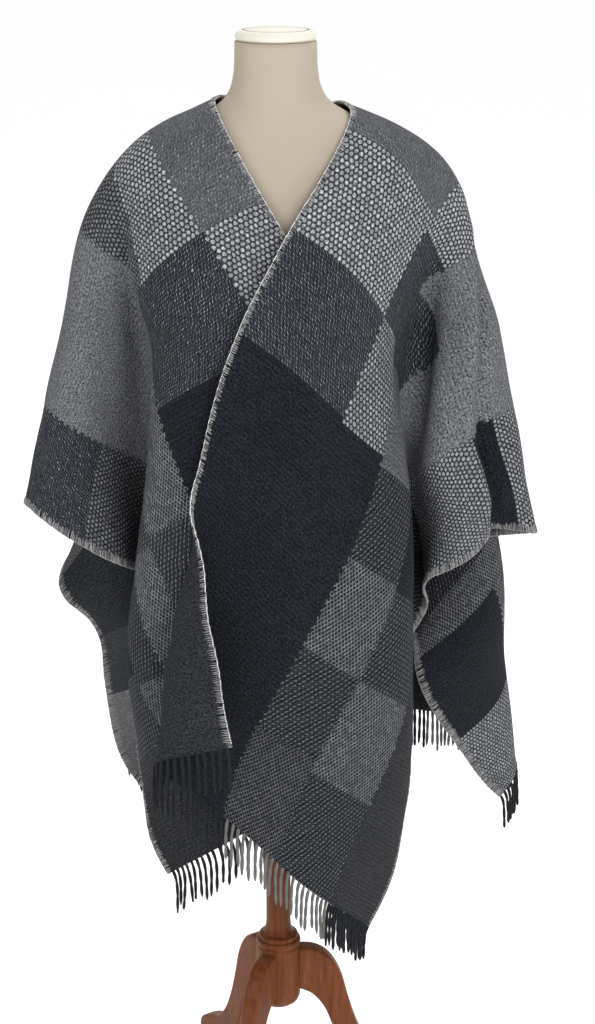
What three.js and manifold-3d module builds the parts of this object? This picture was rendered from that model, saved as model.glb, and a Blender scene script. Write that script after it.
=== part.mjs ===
// Wool poncho of the ruana kind: one woven oblong, slit from the front hem to the nape,
// worn open on a limbless dress form that stands on a turned wooden column with three legs.
// Millimetres, +Z up, the garment's front towards -Y. The column's axis is x = 0, y = 0
// until the last lines move the origin to the bottom centre of the whole.
import * as THREE from "three";
import { mergeVertices } from "three/addons/utils/BufferGeometryUtils.js";
import Module from "manifold-3d";

const wasm = await Module();
wasm.setup();
const { Manifold, Mesh } = wasm;

// Driving sizes of the cloth.
const CELL = 35; // side of one square of the cloth grid
const HALF_COLS = 18; // squares from the slit to a side edge: 630 mm
const FRONT_ROWS = 26; // squares from the shoulder line to the front hem: 910 mm
const BACK_ROWS = 25; // squares from the shoulder line to the back hem: 875 mm
const SLIT_ROWS = 3; // squares that the slit runs on behind the shoulder line
const WALL = 2.4; // thickness of the double woven cloth
const GAP = 0.3; // air between two pieces that touch

// Driving sizes of the fringe.
const STRIP = 6; // height of the strip that carries the strands
const STRAND_PITCH = 17.5; // spacing of the strands along a hem
const STRAND_LENGTH = 62;
const STRAND_RADIUS = 2.3;
const STRAND_SIDES = 3;
const ROOT_RADIUS = 0.9; // where a strand grows out of the strip
const ROOT_DEPTH = 1.6;

// Driving sizes of the form and the stand.
const FORM_POWER = 2.3; // 2 is an ellipse, more is squarer
const FORM_SIDES = 28;
const COLUMN_RADIUS = 16.5;
const HUB_RADIUS = 30;
const LEG_THICKNESS = 24;
const LEG_BEVEL = 3;
const LEG_AZIMUTHS = { right: 4, back: 124, front: 244 };

// Level sections of the dress form, top to bottom.
const FORM_SECTIONS = [
  { z: 1453, halfWidth: 50, halfDepth: 51, centreY: 0 },
  { z: 1425, halfWidth: 50, halfDepth: 51, centreY: 0 },
  { z: 1400, halfWidth: 53, halfDepth: 54, centreY: 0 },
  { z: 1382, halfWidth: 63, halfDepth: 60, centreY: 1 },
  { z: 1370, halfWidth: 80, halfDepth: 66, centreY: 2 },
  { z: 1357, halfWidth: 112, halfDepth: 72, centreY: 3 },
  { z: 1342, halfWidth: 146, halfDepth: 79, centreY: 3 },
  { z: 1326, halfWidth: 166, halfDepth: 86, centreY: 2 },
  { z: 1308, halfWidth: 175, halfDepth: 92, centreY: 1 },
  { z: 1280, halfWidth: 174, halfDepth: 98, centreY: 0 },
  { z: 1235, halfWidth: 164, halfDepth: 104, centreY: -1 },
  { z: 1180, halfWidth: 152, halfDepth: 109, centreY: -3 },
  { z: 1110, halfWidth: 134, halfDepth: 101, centreY: -2 },
  { z: 1030, halfWidth: 120, halfDepth: 88, centreY: 0 },
  { z: 960, halfWidth: 124, halfDepth: 92, centreY: 2 },
  { z: 880, halfWidth: 136, halfDepth: 102, centreY: 4 },
  { z: 800, halfWidth: 138, halfDepth: 104, centreY: 4 },
  { z: 765, halfWidth: 130, halfDepth: 98, centreY: 4 },
  { z: 755, halfWidth: 116, halfDepth: 86, centreY: 4 },
];
const FORM_BOTTOM = 755;

// The drape. Every row says where one spot of the cloth hangs. across and along are measured
// on the flat cloth: across from the slit, along from the shoulder line, above 0 down the front
// and below 0 down the back. x, y and z are in the air. hold is how firmly the spot keeps its
// place. The shared rows lie in the middle of the back, where no slit parts the two halves.
const SHARED_ROWS = [
  { spot: "slit end at the nape", across: 0, along: -105, x: 20, y: 80, z: 1368, hold: 1 },
  { spot: "shoulder blades", across: 0, along: -200, x: 8, y: 112, z: 1284, hold: 0.3 },
  { spot: "middle back", across: 0, along: -400, x: 8, y: 138, z: 1090, hold: 0.2 },
  { spot: "lower back", across: 0, along: -640, x: 8, y: 150, z: 850, hold: 0.2 },
  { spot: "back hem", across: 0, along: -875, x: 8, y: 160, z: 615, hold: 0.2 },
];

const LEFT_ROWS = [
  { spot: "slit at the neck", across: 0, along: 0, x: 92, y: 0, z: 1374, hold: 1 },
  { spot: "slit crossing", across: 0, along: 205, x: 8, y: -134, z: 1244, hold: 1 },
  { spot: "slit", across: 0, along: 310, x: -38, y: -140, z: 1155, hold: 1 },
  { spot: "slit", across: 0, along: 400, x: -65, y: -142, z: 1076, hold: 1 },
  { spot: "slit", across: 0, along: 485, x: -84, y: -142, z: 996, hold: 1 },
  { spot: "slit", across: 0, along: 545, x: -92, y: -146, z: 940, hold: 1 },
  { spot: "flap edge", across: 0, along: 610, x: -92, y: -162, z: 890, hold: 1 },
  { spot: "flap edge", across: 0, along: 680, x: -81, y: -174, z: 830, hold: 1 },
  { spot: "flap edge", across: 0, along: 800, x: -65, y: -186, z: 720, hold: 1 },
  { spot: "flap corner", across: 0, along: 910, x: -54, y: -188, z: 618, hold: 1 },
  { spot: "flap fold", across: 14, along: 590, x: -104, y: -148, z: 906, hold: 1 },
  { spot: "flap fold", across: 54, along: 700, x: -124, y: -152, z: 790, hold: 1 },
  { spot: "flap fold", across: 92, along: 800, x: -140, y: -154, z: 690, hold: 1 },
  { spot: "flap fold at the hem", across: 130, along: 910, x: -154, y: -154, z: 575, hold: 1 },
  { spot: "front hem", across: 216, along: 910, x: -86, y: -130, z: 520, hold: 1 },
  { spot: "front hem", across: 321, along: 910, x: -14, y: -126, z: 447, hold: 1 },
  { spot: "front hem", across: 414, along: 910, x: 44, y: -108, z: 376, hold: 1 },
  { spot: "front hem", across: 490, along: 910, x: 80, y: -66, z: 330, hold: 1 },
  { spot: "front corner", across: 630, along: 910, x: 124, y: 40, z: 240, hold: 1 },
  { spot: "side edge", across: 630, along: 850, x: 149, y: 48, z: 290, hold: 1 },
  { spot: "side edge", across: 630, along: 750, x: 167, y: 56, z: 382, hold: 1 },
  { spot: "side edge", across: 630, along: 612, x: 174, y: 62, z: 520, hold: 1 },
  { spot: "side edge behind", across: 630, along: 450, x: 178, y: 66, z: 650, hold: 0.3 },
  { spot: "turned tip", across: 630, along: 310, x: 189, y: 10, z: 750, hold: 1 },
  { spot: "pleat bottom", across: 630, along: 250, x: 190, y: -30, z: 785, hold: 1 },
  { spot: "pleat bottom", across: 630, along: 170, x: 258, y: -26, z: 815, hold: 1 },
  { spot: "pleat valley", across: 630, along: 115, x: 266, y: 26, z: 836, hold: 0.6 },
  { spot: "outer bottom", across: 630, along: 50, x: 326, y: -4, z: 832, hold: 1 },
  { spot: "shoulder line", across: 60, along: 0, x: 150, y: 0, z: 1356, hold: 1 },
  { spot: "shoulder tip", across: 120, along: 0, x: 202, y: 0, z: 1328, hold: 1 },
  { spot: "outer ridge", across: 175, along: 8, x: 228, y: 0, z: 1280, hold: 1 },
  { spot: "outer ridge", across: 273, along: 18, x: 249, y: 0, z: 1184, hold: 1 },
  { spot: "outer ridge", across: 350, along: 26, x: 269, y: 0, z: 1110, hold: 1 },
  { spot: "outer ridge", across: 427, along: 34, x: 283, y: 0, z: 1034, hold: 1 },
  { spot: "outer ridge", across: 507, along: 42, x: 302, y: 0, z: 956, hold: 1 },
  { spot: "first valley", across: 165, along: 34, x: 196, y: -6, z: 1274, hold: 0.5 },
  { spot: "first valley", across: 333, along: 160, x: 172, y: 20, z: 1069, hold: 0.8 },
  { spot: "first valley", across: 486, along: 270, x: 172, y: 28, z: 879, hold: 0.8 },
  { spot: "pleat ridge", across: 210, along: 52, x: 216, y: -28, z: 1229, hold: 0.8 },
  { spot: "pleat ridge", across: 369, along: 143, x: 196, y: -46, z: 1045, hold: 0.8 },
  { spot: "pleat ridge", across: 466, along: 200, x: 189, y: -46, z: 931, hold: 0.8 },
  { spot: "pleat face", across: 393, along: 99, x: 240, y: -40, z: 1043, hold: 0.8 },
  { spot: "pleat face", across: 560, along: 160, x: 252, y: -36, z: 868, hold: 0.8 },
  { spot: "second valley", across: 502, along: 88, x: 262, y: 8, z: 945, hold: 0.6 },
  { spot: "check corner", across: 168, along: 168, x: 132, y: -84, z: 1140, hold: 0.6 },
  { spot: "check corner", across: 168, along: 319, x: 80, y: -128, z: 1038, hold: 0.6 },
  { spot: "check corner", across: 246, along: 330, x: 126, y: -100, z: 973, hold: 0.6 },
  { spot: "check edge", across: 246, along: 455, x: 92, y: -118, z: 845, hold: 0.6 },
  { spot: "check edge", across: 246, along: 600, x: 26, y: -128, z: 718, hold: 0.6 },
  { spot: "check edge", across: 246, along: 730, x: -36, y: -130, z: 612, hold: 0.6 },
  { spot: "front outline", across: 330, along: 300, x: 158, y: -46, z: 960, hold: 0.5 },
  { spot: "front outline", across: 430, along: 430, x: 172, y: -30, z: 800, hold: 0.5 },
  { spot: "front outline", across: 520, along: 560, x: 172, y: -10, z: 640, hold: 0.5 },
  { spot: "front outline", across: 560, along: 700, x: 170, y: 0, z: 490, hold: 0.5 },
  { spot: "back of the sleeve", across: 630, along: -40, x: 290, y: 60, z: 800, hold: 0.6 },
  { spot: "back of the sleeve", across: 630, along: -120, x: 250, y: 92, z: 785, hold: 0.4 },
  { spot: "back loop", across: 630, along: -240, x: 216, y: 140, z: 755, hold: 0.4 },
  { spot: "back loop", across: 630, along: -350, x: 200, y: 160, z: 700, hold: 0.4 },
  { spot: "back side edge", across: 630, along: -480, x: 192, y: 128, z: 640, hold: 0.4 },
  { spot: "back side edge", across: 630, along: -610, x: 190, y: 84, z: 582, hold: 0.8 },
  { spot: "back side edge", across: 630, along: -755, x: 256, y: 140, z: 468, hold: 0.8 },
  { spot: "back corner", across: 630, along: -875, x: 318, y: 190, z: 376, hold: 1 },
  { spot: "back outline", across: 356, along: -530, x: 296, y: 200, z: 756, hold: 0.6 },
  { spot: "back outline", across: 430, along: -680, x: 312, y: 230, z: 608, hold: 0.6 },
  { spot: "back outline", across: 500, along: -875, x: 338, y: 254, z: 402, hold: 0.6 },
  { spot: "back hem", across: 200, along: -875, x: 178, y: 205, z: 468, hold: 0.4 },
  { spot: "back hem", across: 300, along: -875, x: 246, y: 262, z: 442, hold: 0.4 },
  { spot: "back hem", across: 390, along: -875, x: 298, y: 306, z: 425, hold: 0.4 },
  { spot: "behind the shoulder", across: 120, along: -100, x: 190, y: 72, z: 1270, hold: 0.4 },
  { spot: "behind the ridge", across: 250, along: -90, x: 232, y: 66, z: 1180, hold: 1 },
  { spot: "behind the ridge", across: 380, along: -70, x: 262, y: 58, z: 1060, hold: 1 },
  { spot: "behind the ridge", across: 510, along: -50, x: 284, y: 52, z: 930, hold: 1 },
  { spot: "behind the arm", across: 240, along: -240, x: 226, y: 110, z: 1110, hold: 0.2 },
];

const RIGHT_ROWS = [
  { spot: "slit at the neck", across: 0, along: 14, x: -70, y: 0, z: 1379, hold: 1 },
  { spot: "slit crossing", across: 0, along: 208, x: 8, y: -114, z: 1242, hold: 1 },
  { spot: "slit beneath", across: 0, along: 315, x: 60, y: -114, z: 1150, hold: 0.6 },
  { spot: "slit beneath", across: 0, along: 425, x: 112, y: -92, z: 1056, hold: 0.5 },
  { spot: "slit beneath", across: 0, along: 535, x: 140, y: -40, z: 965, hold: 0.4 },
  { spot: "slit beneath", across: 0, along: 660, x: 146, y: 30, z: 860, hold: 0.4 },
  { spot: "slit beneath", across: 0, along: 785, x: 128, y: 90, z: 755, hold: 0.4 },
  { spot: "inner corner", across: 0, along: 910, x: 86, y: 116, z: 650, hold: 0.4 },
  { spot: "front hem beneath", across: 130, along: 910, x: 118, y: 30, z: 600, hold: 0.4 },
  { spot: "front hem beneath", across: 260, along: 910, x: 100, y: -34, z: 552, hold: 0.5 },
  { spot: "front hem beneath", across: 370, along: 910, x: 48, y: -84, z: 514, hold: 0.6 },
  { spot: "front hem", across: 480, along: 910, x: -40, y: -104, z: 462, hold: 1 },
  { spot: "front hem", across: 556, along: 910, x: -100, y: -96, z: 420, hold: 1 },
  { spot: "front corner", across: 630, along: 910, x: -141, y: -66, z: 382, hold: 1 },
  { spot: "side edge", across: 630, along: 860, x: -168, y: -32, z: 408, hold: 1 },
  { spot: "side edge", across: 630, along: 785, x: -180, y: 20, z: 452, hold: 1 },
  { spot: "side edge behind", across: 630, along: 640, x: -174, y: 70, z: 570, hold: 0.4 },
  { spot: "side edge behind", across: 630, along: 480, x: -156, y: 86, z: 690, hold: 0.4 },
  { spot: "side edge behind", across: 630, along: 350, x: -154, y: 40, z: 765, hold: 0.4 },
  { spot: "sleeve bottom", across: 630, along: 250, x: -192, y: -44, z: 802, hold: 0.8 },
  { spot: "sleeve bottom", across: 630, along: 175, x: -245, y: -38, z: 832, hold: 1 },
  { spot: "sleeve bottom", across: 630, along: 110, x: -297, y: -22, z: 862, hold: 1 },
  { spot: "outer bottom", across: 630, along: 66, x: -320, y: 0, z: 876, hold: 1 },
  { spot: "shoulder line", across: 60, along: 8, x: -130, y: 0, z: 1354, hold: 1 },
  { spot: "shoulder tip", across: 120, along: 4, x: -187, y: 0, z: 1323, hold: 1 },
  { spot: "outer ridge", across: 188, along: 10, x: -224, y: 0, z: 1262, hold: 1 },
  { spot: "outer ridge", across: 312, along: 22, x: -251, y: 0, z: 1149, hold: 1 },
  { spot: "outer ridge", across: 396, along: 34, x: -272, y: 0, z: 1073, hold: 1 },
  { spot: "outer ridge", across: 476, along: 46, x: -290, y: 0, z: 1005, hold: 1 },
  { spot: "outer ridge", across: 562, along: 56, x: -308, y: 0, z: 930, hold: 0.8 },
  { spot: "front ridge", across: 220, along: 200, x: -166, y: -64, z: 1147, hold: 0.8 },
  { spot: "front ridge", across: 284, along: 326, x: -154, y: -72, z: 1018, hold: 0.8 },
  { spot: "front ridge", across: 404, along: 500, x: -172, y: -74, z: 819, hold: 0.8 },
  { spot: "front ridge", across: 505, along: 680, x: -178, y: -68, z: 627, hold: 0.8 },
  { spot: "sleeve valley", across: 300, along: 190, x: -160, y: 16, z: 1080, hold: 0.4 },
  { spot: "sleeve valley", across: 460, along: 310, x: -152, y: 34, z: 900, hold: 0.4 },
  { spot: "sleeve face", across: 380, along: 120, x: -228, y: -34, z: 1050, hold: 0.3 },
  { spot: "sleeve face", across: 520, along: 150, x: -250, y: -36, z: 930, hold: 0.3 },
  { spot: "front", across: 150, along: 250, x: -84, y: -112, z: 1140, hold: 0.3 },
  { spot: "front", across: 262, along: 560, x: -60, y: -110, z: 830, hold: 0.3 },
  { spot: "front", across: 380, along: 730, x: -76, y: -110, z: 640, hold: 0.3 },
  { spot: "back of the sleeve", across: 630, along: -30, x: -304, y: 80, z: 840, hold: 0.6 },
  { spot: "back loop", across: 630, along: -130, x: -282, y: 160, z: 825, hold: 0.4 },
  { spot: "back loop", across: 630, along: -235, x: -268, y: 170, z: 775, hold: 0.4 },
  { spot: "back side edge", across: 630, along: -335, x: -292, y: 95, z: 734, hold: 0.8 },
  { spot: "back side edge", across: 630, along: -430, x: -262, y: 115, z: 679, hold: 0.8 },
  { spot: "back side edge", across: 630, along: -520, x: -240, y: 130, z: 630, hold: 0.8 },
  { spot: "back side edge", across: 630, along: -640, x: -237, y: 155, z: 539, hold: 0.8 },
  { spot: "back side edge", across: 630, along: -740, x: -225, y: 170, z: 442, hold: 0.8 },
  { spot: "back side edge", across: 630, along: -800, x: -194, y: 175, z: 396, hold: 0.8 },
  { spot: "back corner", across: 630, along: -875, x: -150, y: 190, z: 340, hold: 0.8 },
  { spot: "back hem", across: 500, along: -875, x: -190, y: 262, z: 372, hold: 0.4 },
  { spot: "back hem", across: 390, along: -875, x: -218, y: 280, z: 410, hold: 0.4 },
  { spot: "back hem", across: 200, along: -875, x: -165, y: 206, z: 476, hold: 0.4 },
  { spot: "behind the shoulder", across: 120, along: -100, x: -180, y: 72, z: 1266, hold: 0.4 },
  { spot: "behind the ridge", across: 260, along: -90, x: -230, y: 70, z: 1170, hold: 1 },
  { spot: "behind the ridge", across: 390, along: -60, x: -262, y: 62, z: 1050, hold: 1 },
  { spot: "behind the ridge", across: 520, along: -30, x: -294, y: 54, z: 930, hold: 0.6 },
  { spot: "behind the arm", across: 240, along: -240, x: -222, y: 110, z: 1110, hold: 0.2 },
];

// How the cloth settles on those spots: the yarns keep their length, the weave shears a little,
// and no layer comes closer to another than LAYER_GAP.
const SETTLE_STEPS = 200;
const SETTLE_SWEEPS = 8;
const FALL = 0.035; // drop of a free spot in one step
const DRAG = 0.9; // share of a movement kept from step to step
const YARN_PULL = 1; // how fully a stretched yarn takes its length back in one sweep
const SHEAR_PULL = 0.3;
const GATHER_PULL = 0.12; // share of that pull when a yarn is pushed together instead
const BEND_PULL = 0.22;
const LAYER_GAP = 24;
const BODY_GAP = 7; // from the form to the middle of the cloth
const FIRST_GRIP = 0.75; // pull of the table's spots at the first step
const LAST_GRIP = 0.25; // and at the last
const TOP_SPEED = 4; // furthest that a spot coasts in one step
const SEAT_DROP = 0.1; // last lowering of the whole cloth on to the shoulders

// A grid spot's number. Both halves share the middle column behind the slit.
const ROWS = FRONT_ROWS + BACK_ROWS + 1;
const HALF_SPOTS = (HALF_COLS + 1) * ROWS;
function spotNumber(side, col, row) {
  const shared = col === 0 && row <= -SLIT_ROWS;
  return (shared ? 0 : side) * HALF_SPOTS + col * ROWS + (row + BACK_ROWS);
}

// Solves matrix * unknowns = right by elimination. Each row of right holds x, y and z.
function solve(matrix, right) {
  const n = matrix.length;
  for (let i = 0; i < n; i++) {
    let pivot = i;
    for (let r = i + 1; r < n; r++) {
      if (Math.abs(matrix[r][i]) > Math.abs(matrix[pivot][i])) pivot = r;
    }
    [matrix[i], matrix[pivot]] = [matrix[pivot], matrix[i]];
    [right[i], right[pivot]] = [right[pivot], right[i]];
    for (let r = i + 1; r < n; r++) {
      const f = matrix[r][i] / matrix[i][i];
      if (f === 0) continue;
      for (let c = i; c < n; c++) matrix[r][c] -= f * matrix[i][c];
      for (let k = 0; k < 3; k++) right[r][k] -= f * right[i][k];
    }
  }
  for (let i = n - 1; i >= 0; i--) {
    for (let k = 0; k < 3; k++) {
      let sum = right[i][k];
      for (let c = i + 1; c < n; c++) sum -= matrix[i][c] * right[c][k];
      right[i][k] = sum / matrix[i][i];
    }
  }
  return right;
}

// The smoothest surface through the rows: a flat base plus a weighted sum of the distances
// to the spots. It gives the place that every grid spot settles from.
function surfaceThrough(rows) {
  const n = rows.length;
  const matrix = [];
  const right = [];
  for (const a of rows) {
    const line = rows.map((b) => Math.hypot(a.across - b.across, a.along - b.along));
    matrix.push([...line, 1, a.across, a.along]);
    right.push([a.x, a.y, a.z]);
  }
  for (const pick of [() => 1, (r) => r.across, (r) => r.along]) {
    matrix.push([...rows.map(pick), 0, 0, 0]);
    right.push([0, 0, 0]);
  }
  const weights = solve(matrix, right);
  return (across, along) => {
    const out = [0, 0, 0];
    for (let k = 0; k < 3; k++) {
      out[k] = weights[n][k] + weights[n + 1][k] * across + weights[n + 2][k] * along;
    }
    rows.forEach((r, i) => {
      const d = Math.hypot(across - r.across, along - r.along);
      for (let k = 0; k < 3; k++) out[k] += weights[i][k] * d;
    });
    return out;
  };
}

// The form's section at a height, and how far a spot lies outside it.
function formSection(z) {
  const rows = FORM_SECTIONS;
  if (z >= rows[0].z) return rows[0];
  for (let i = 1; i < rows.length; i++) {
    if (z >= rows[i].z) {
      const t = (z - rows[i].z) / (rows[i - 1].z - rows[i].z);
      const mix = (key) => rows[i][key] + t * (rows[i - 1][key] - rows[i][key]);
      return { halfWidth: mix("halfWidth"), halfDepth: mix("halfDepth"), centreY: mix("centreY") };
    }
  }
  return rows[rows.length - 1];
}

function formLevel(x, y, z) {
  const s = formSection(z);
  const a = Math.pow(Math.abs(x / s.halfWidth), FORM_POWER);
  const b = Math.pow(Math.abs((y - s.centreY) / s.halfDepth), FORM_POWER);
  return Math.pow(a + b, 1 / FORM_POWER) - 1;
}

// Moves the spot that starts at p[i] out of the form, up the slope of formLevel.
function pushOffForm(p, i, gap) {
  const x = p[i];
  const y = p[i + 1];
  const z = p[i + 2];
  if (z > FORM_SECTIONS[0].z || z < FORM_BOTTOM - 20) return;
  const f = formLevel(x, y, z);
  if (f > 0.6) return;
  const e = 0.5;
  const gx = (formLevel(x + e, y, z) - f) / e;
  const gy = (formLevel(x, y + e, z) - f) / e;
  const gz = (formLevel(x, y, z + e) - f) / e;
  const g = Math.hypot(gx, gy, gz) + 1e-9;
  const distance = f / g;
  if (distance >= gap) return;
  const step = Math.min(gap - distance, 6) / g;
  p[i] += gx * step;
  p[i + 1] += gy * step;
  p[i + 2] += gz * step;
}

// What ties the grid spots: yarns along both threads of the weave, shears over the squares'
// diagonals, and bends over three spots in a row.
const yarns = [];
const shears = [];
const bends = [];
for (const side of [0, 1]) {
  for (let col = 0; col <= HALF_COLS; col++) {
    for (let row = -BACK_ROWS; row <= FRONT_ROWS; row++) {
      const here = spotNumber(side, col, row);
      const right = col < HALF_COLS;
      const down = row < FRONT_ROWS;
      if (right) yarns.push([here, spotNumber(side, col + 1, row), CELL]);
      if (down && !(side === 1 && col === 0 && row < -SLIT_ROWS)) {
        yarns.push([here, spotNumber(side, col, row + 1), CELL]);
      }
      if (right && down) {
        const slant = CELL * Math.SQRT2;
        shears.push([here, spotNumber(side, col + 1, row + 1), slant]);
        shears.push([spotNumber(side, col + 1, row), spotNumber(side, col, row + 1), slant]);
      }
      if (col > 0 && right) {
        bends.push([spotNumber(side, col - 1, row), here, spotNumber(side, col + 1, row)]);
      }
      if (col === 0 && side === 0 && row <= -SLIT_ROWS) {
        bends.push([spotNumber(0, 1, row), here, spotNumber(1, 1, row)]);
      }
      if (row > -BACK_ROWS && down) {
        bends.push([spotNumber(side, col, row - 1), here, spotNumber(side, col, row + 1)]);
      }
    }
  }
}

// Gives every yarn or shear in the list its own length back.
function lengthen(p, list, pull) {
  for (const [a, b, rest] of list) {
    const i = a * 3;
    const j = b * 3;
    const dx = p[j] - p[i];
    const dy = p[j + 1] - p[i + 1];
    const dz = p[j + 2] - p[i + 2];
    const d = Math.hypot(dx, dy, dz) + 1e-9;
    const f = (0.5 * pull * (d < rest ? GATHER_PULL : 1) * (d - rest)) / d;
    p[i] += dx * f;
    p[i + 1] += dy * f;
    p[i + 2] += dz * f;
    p[j] -= dx * f;
    p[j + 1] -= dy * f;
    p[j + 2] -= dz * f;
  }
}

// Draws the middle spot of every bend towards the line between its neighbours.
function straighten(p, list, pull) {
  for (const [a, m, b] of list) {
    for (let k = 0; k < 3; k++) {
      const off = (p[a * 3 + k] + p[b * 3 + k]) / 2 - p[m * 3 + k];
      p[m * 3 + k] += off * pull;
      p[a * 3 + k] -= (off * pull) / 2;
      p[b * 3 + k] -= (off * pull) / 2;
    }
  }
}

// Parts grid spots that came closer than LAYER_GAP, found through boxes of that size.
function separateLayers(p, used) {
  const boxes = new Map();
  const key = (x, y, z) => x * 1000003 + y * 1009 + z;
  for (const n of used) {
    const cx = Math.floor(p[n * 3] / LAYER_GAP);
    const cy = Math.floor(p[n * 3 + 1] / LAYER_GAP);
    const cz = Math.floor(p[n * 3 + 2] / LAYER_GAP);
    const k = key(cx, cy, cz);
    if (!boxes.has(k)) boxes.set(k, []);
    boxes.get(k).push(n);
  }
  for (const a of used) {
    const cx = Math.floor(p[a * 3] / LAYER_GAP);
    const cy = Math.floor(p[a * 3 + 1] / LAYER_GAP);
    const cz = Math.floor(p[a * 3 + 2] / LAYER_GAP);
    for (let ix = cx - 1; ix <= cx + 1; ix++) {
      for (let iy = cy - 1; iy <= cy + 1; iy++) {
        for (let iz = cz - 1; iz <= cz + 1; iz++) {
          for (const b of boxes.get(key(ix, iy, iz)) ?? []) {
            if (b <= a) continue;
            const dx = p[b * 3] - p[a * 3];
            const dy = p[b * 3 + 1] - p[a * 3 + 1];
            const dz = p[b * 3 + 2] - p[a * 3 + 2];
            const d = Math.hypot(dx, dy, dz) + 1e-9;
            if (d >= LAYER_GAP) continue;
            const f = (0.5 * (LAYER_GAP - d)) / d;
            p[a * 3] -= dx * f;
            p[a * 3 + 1] -= dy * f;
            p[a * 3 + 2] -= dz * f;
            p[b * 3] += dx * f;
            p[b * 3 + 1] += dy * f;
            p[b * 3 + 2] += dz * f;
          }
        }
      }
    }
  }
}

// Starts every grid spot on the smooth surface and lets it settle.
function drape() {
  const p = new Float64Array(HALF_SPOTS * 2 * 3);
  const used = new Set();
  const holds = [];
  [LEFT_ROWS, RIGHT_ROWS].forEach((table, side) => {
    const rows = [...SHARED_ROWS, ...table];
    const start = surfaceThrough(rows);
    for (let col = 0; col <= HALF_COLS; col++) {
      for (let row = -BACK_ROWS; row <= FRONT_ROWS; row++) {
        const n = spotNumber(side, col, row);
        used.add(n);
        p.set(start(col * CELL, row * CELL), n * 3);
      }
    }
    for (const r of rows) {
      const c = Math.min(r.across / CELL, HALF_COLS - 1e-6);
      const w = Math.max(-BACK_ROWS, Math.min(r.along / CELL, FRONT_ROWS - 1e-6));
      const c0 = Math.floor(c);
      const r0 = Math.floor(w);
      const corners = [];
      for (const [dc, dr] of [[0, 0], [1, 0], [0, 1], [1, 1]]) {
        const weight = (dc ? c - c0 : 1 - c + c0) * (dr ? w - r0 : 1 - w + r0);
        if (weight > 1e-4) corners.push([spotNumber(side, c0 + dc, r0 + dr), weight]);
      }
      const power = corners.reduce((sum, [, weight]) => sum + weight * weight, 0);
      holds.push({ corners, power, to: [r.x, r.y, r.z], hold: r.hold });
    }
  });
  const spots = [...used];
  const last = Float64Array.from(p);
  for (let step = 0; step < SETTLE_STEPS; step++) {
    const share = step / SETTLE_STEPS;
    const grip = LAST_GRIP + (FIRST_GRIP - LAST_GRIP) * Math.pow(1 - share, 1.5);
    for (const n of spots) {
      for (let k = 0; k < 3; k++) {
        const now = p[n * 3 + k];
        const coast = (now - last[n * 3 + k]) * DRAG;
        const move = Math.max(-TOP_SPEED, Math.min(TOP_SPEED, coast));
        last[n * 3 + k] = now;
        p[n * 3 + k] = now + move - (k === 2 ? FALL : 0);
      }
    }
    for (let sweep = 0; sweep < SETTLE_SWEEPS; sweep++) {
      for (const h of holds) {
        for (let k = 0; k < 3; k++) {
          let now = 0;
          for (const [n, weight] of h.corners) now += p[n * 3 + k] * weight;
          const off = ((h.to[k] - now) * h.hold * grip) / h.power;
          for (const [n, weight] of h.corners) p[n * 3 + k] += off * weight;
        }
      }
      lengthen(p, shears, SHEAR_PULL);
      straighten(p, bends, BEND_PULL);
      lengthen(p, yarns, YARN_PULL);
      if (sweep % 4 === 3) separateLayers(p, spots);
      if (sweep % 2 === 1) {
        for (const n of spots) pushOffForm(p, n * 3, BODY_GAP);
      }
    }
  }
  return p;
}

const place = drape();
for (let i = 2; i < place.length; i += 3) place[i] -= SEAT_DROP;
const at = (side, col, row) => {
  const n = spotNumber(side, col, row) * 3;
  return new THREE.Vector3(place[n], place[n + 1], place[n + 2]);
};

// Two triangles for every square of the cloth.
function faceList() {
  const faces = [];
  for (const side of [0, 1]) {
    for (let col = 0; col < HALF_COLS; col++) {
      for (let row = -BACK_ROWS; row < FRONT_ROWS; row++) {
        const a = spotNumber(side, col, row);
        const b = spotNumber(side, col + 1, row);
        const c = spotNumber(side, col + 1, row + 1);
        const d = spotNumber(side, col, row + 1);
        // The slant of a square runs the same way on the flat cloth in both halves.
        if (side === 0) faces.push([a, c, b], [a, d, c]);
        else faces.push([a, b, d], [b, c, d]);
      }
    }
  }
  return faces;
}

const faces = faceList();
const normals = new Map();
for (const [a, b, c] of faces) {
  const point = (n) => new THREE.Vector3(place[n * 3], place[n * 3 + 1], place[n * 3 + 2]);
  const pa = point(a);
  const normal = point(b).sub(pa).cross(point(c).sub(pa));
  for (const n of [a, b, c]) {
    if (!normals.has(n)) normals.set(n, new THREE.Vector3());
    normals.get(n).add(normal);
  }
}
for (const normal of normals.values()) normal.normalize();

// The wall of the cloth: every spot moved half the thickness out and in along its normal,
// with a rim along the slit, the side edges and the hems.
function clothGeometry() {
  const order = [...normals.keys()];
  const index = new Map(order.map((n, i) => [n, i]));
  const count = order.length;
  const positions = [];
  for (const side of [0.5, -0.5]) {
    for (const n of order) {
      const normal = normals.get(n);
      positions.push(place[n * 3] + normal.x * WALL * side);
      positions.push(place[n * 3 + 1] + normal.y * WALL * side);
      positions.push(place[n * 3 + 2] + normal.z * WALL * side);
    }
  }
  const triangles = [];
  const edges = new Map();
  for (const [a, b, c] of faces) {
    const [i, j, k] = [index.get(a), index.get(b), index.get(c)];
    triangles.push(i, j, k, i + count, k + count, j + count);
    for (const [s, t] of [[i, j], [j, k], [k, i]]) edges.set(`${s}_${t}`, [s, t]);
  }
  for (const [s, t] of edges.values()) {
    if (edges.has(`${t}_${s}`)) continue;
    triangles.push(s, s + count, t, t, s + count, t + count);
  }
  const geometry = new THREE.BufferGeometry();
  geometry.setAttribute("position", new THREE.Float32BufferAttribute(positions, 3));
  geometry.setIndex(triangles);
  return geometry;
}

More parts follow.
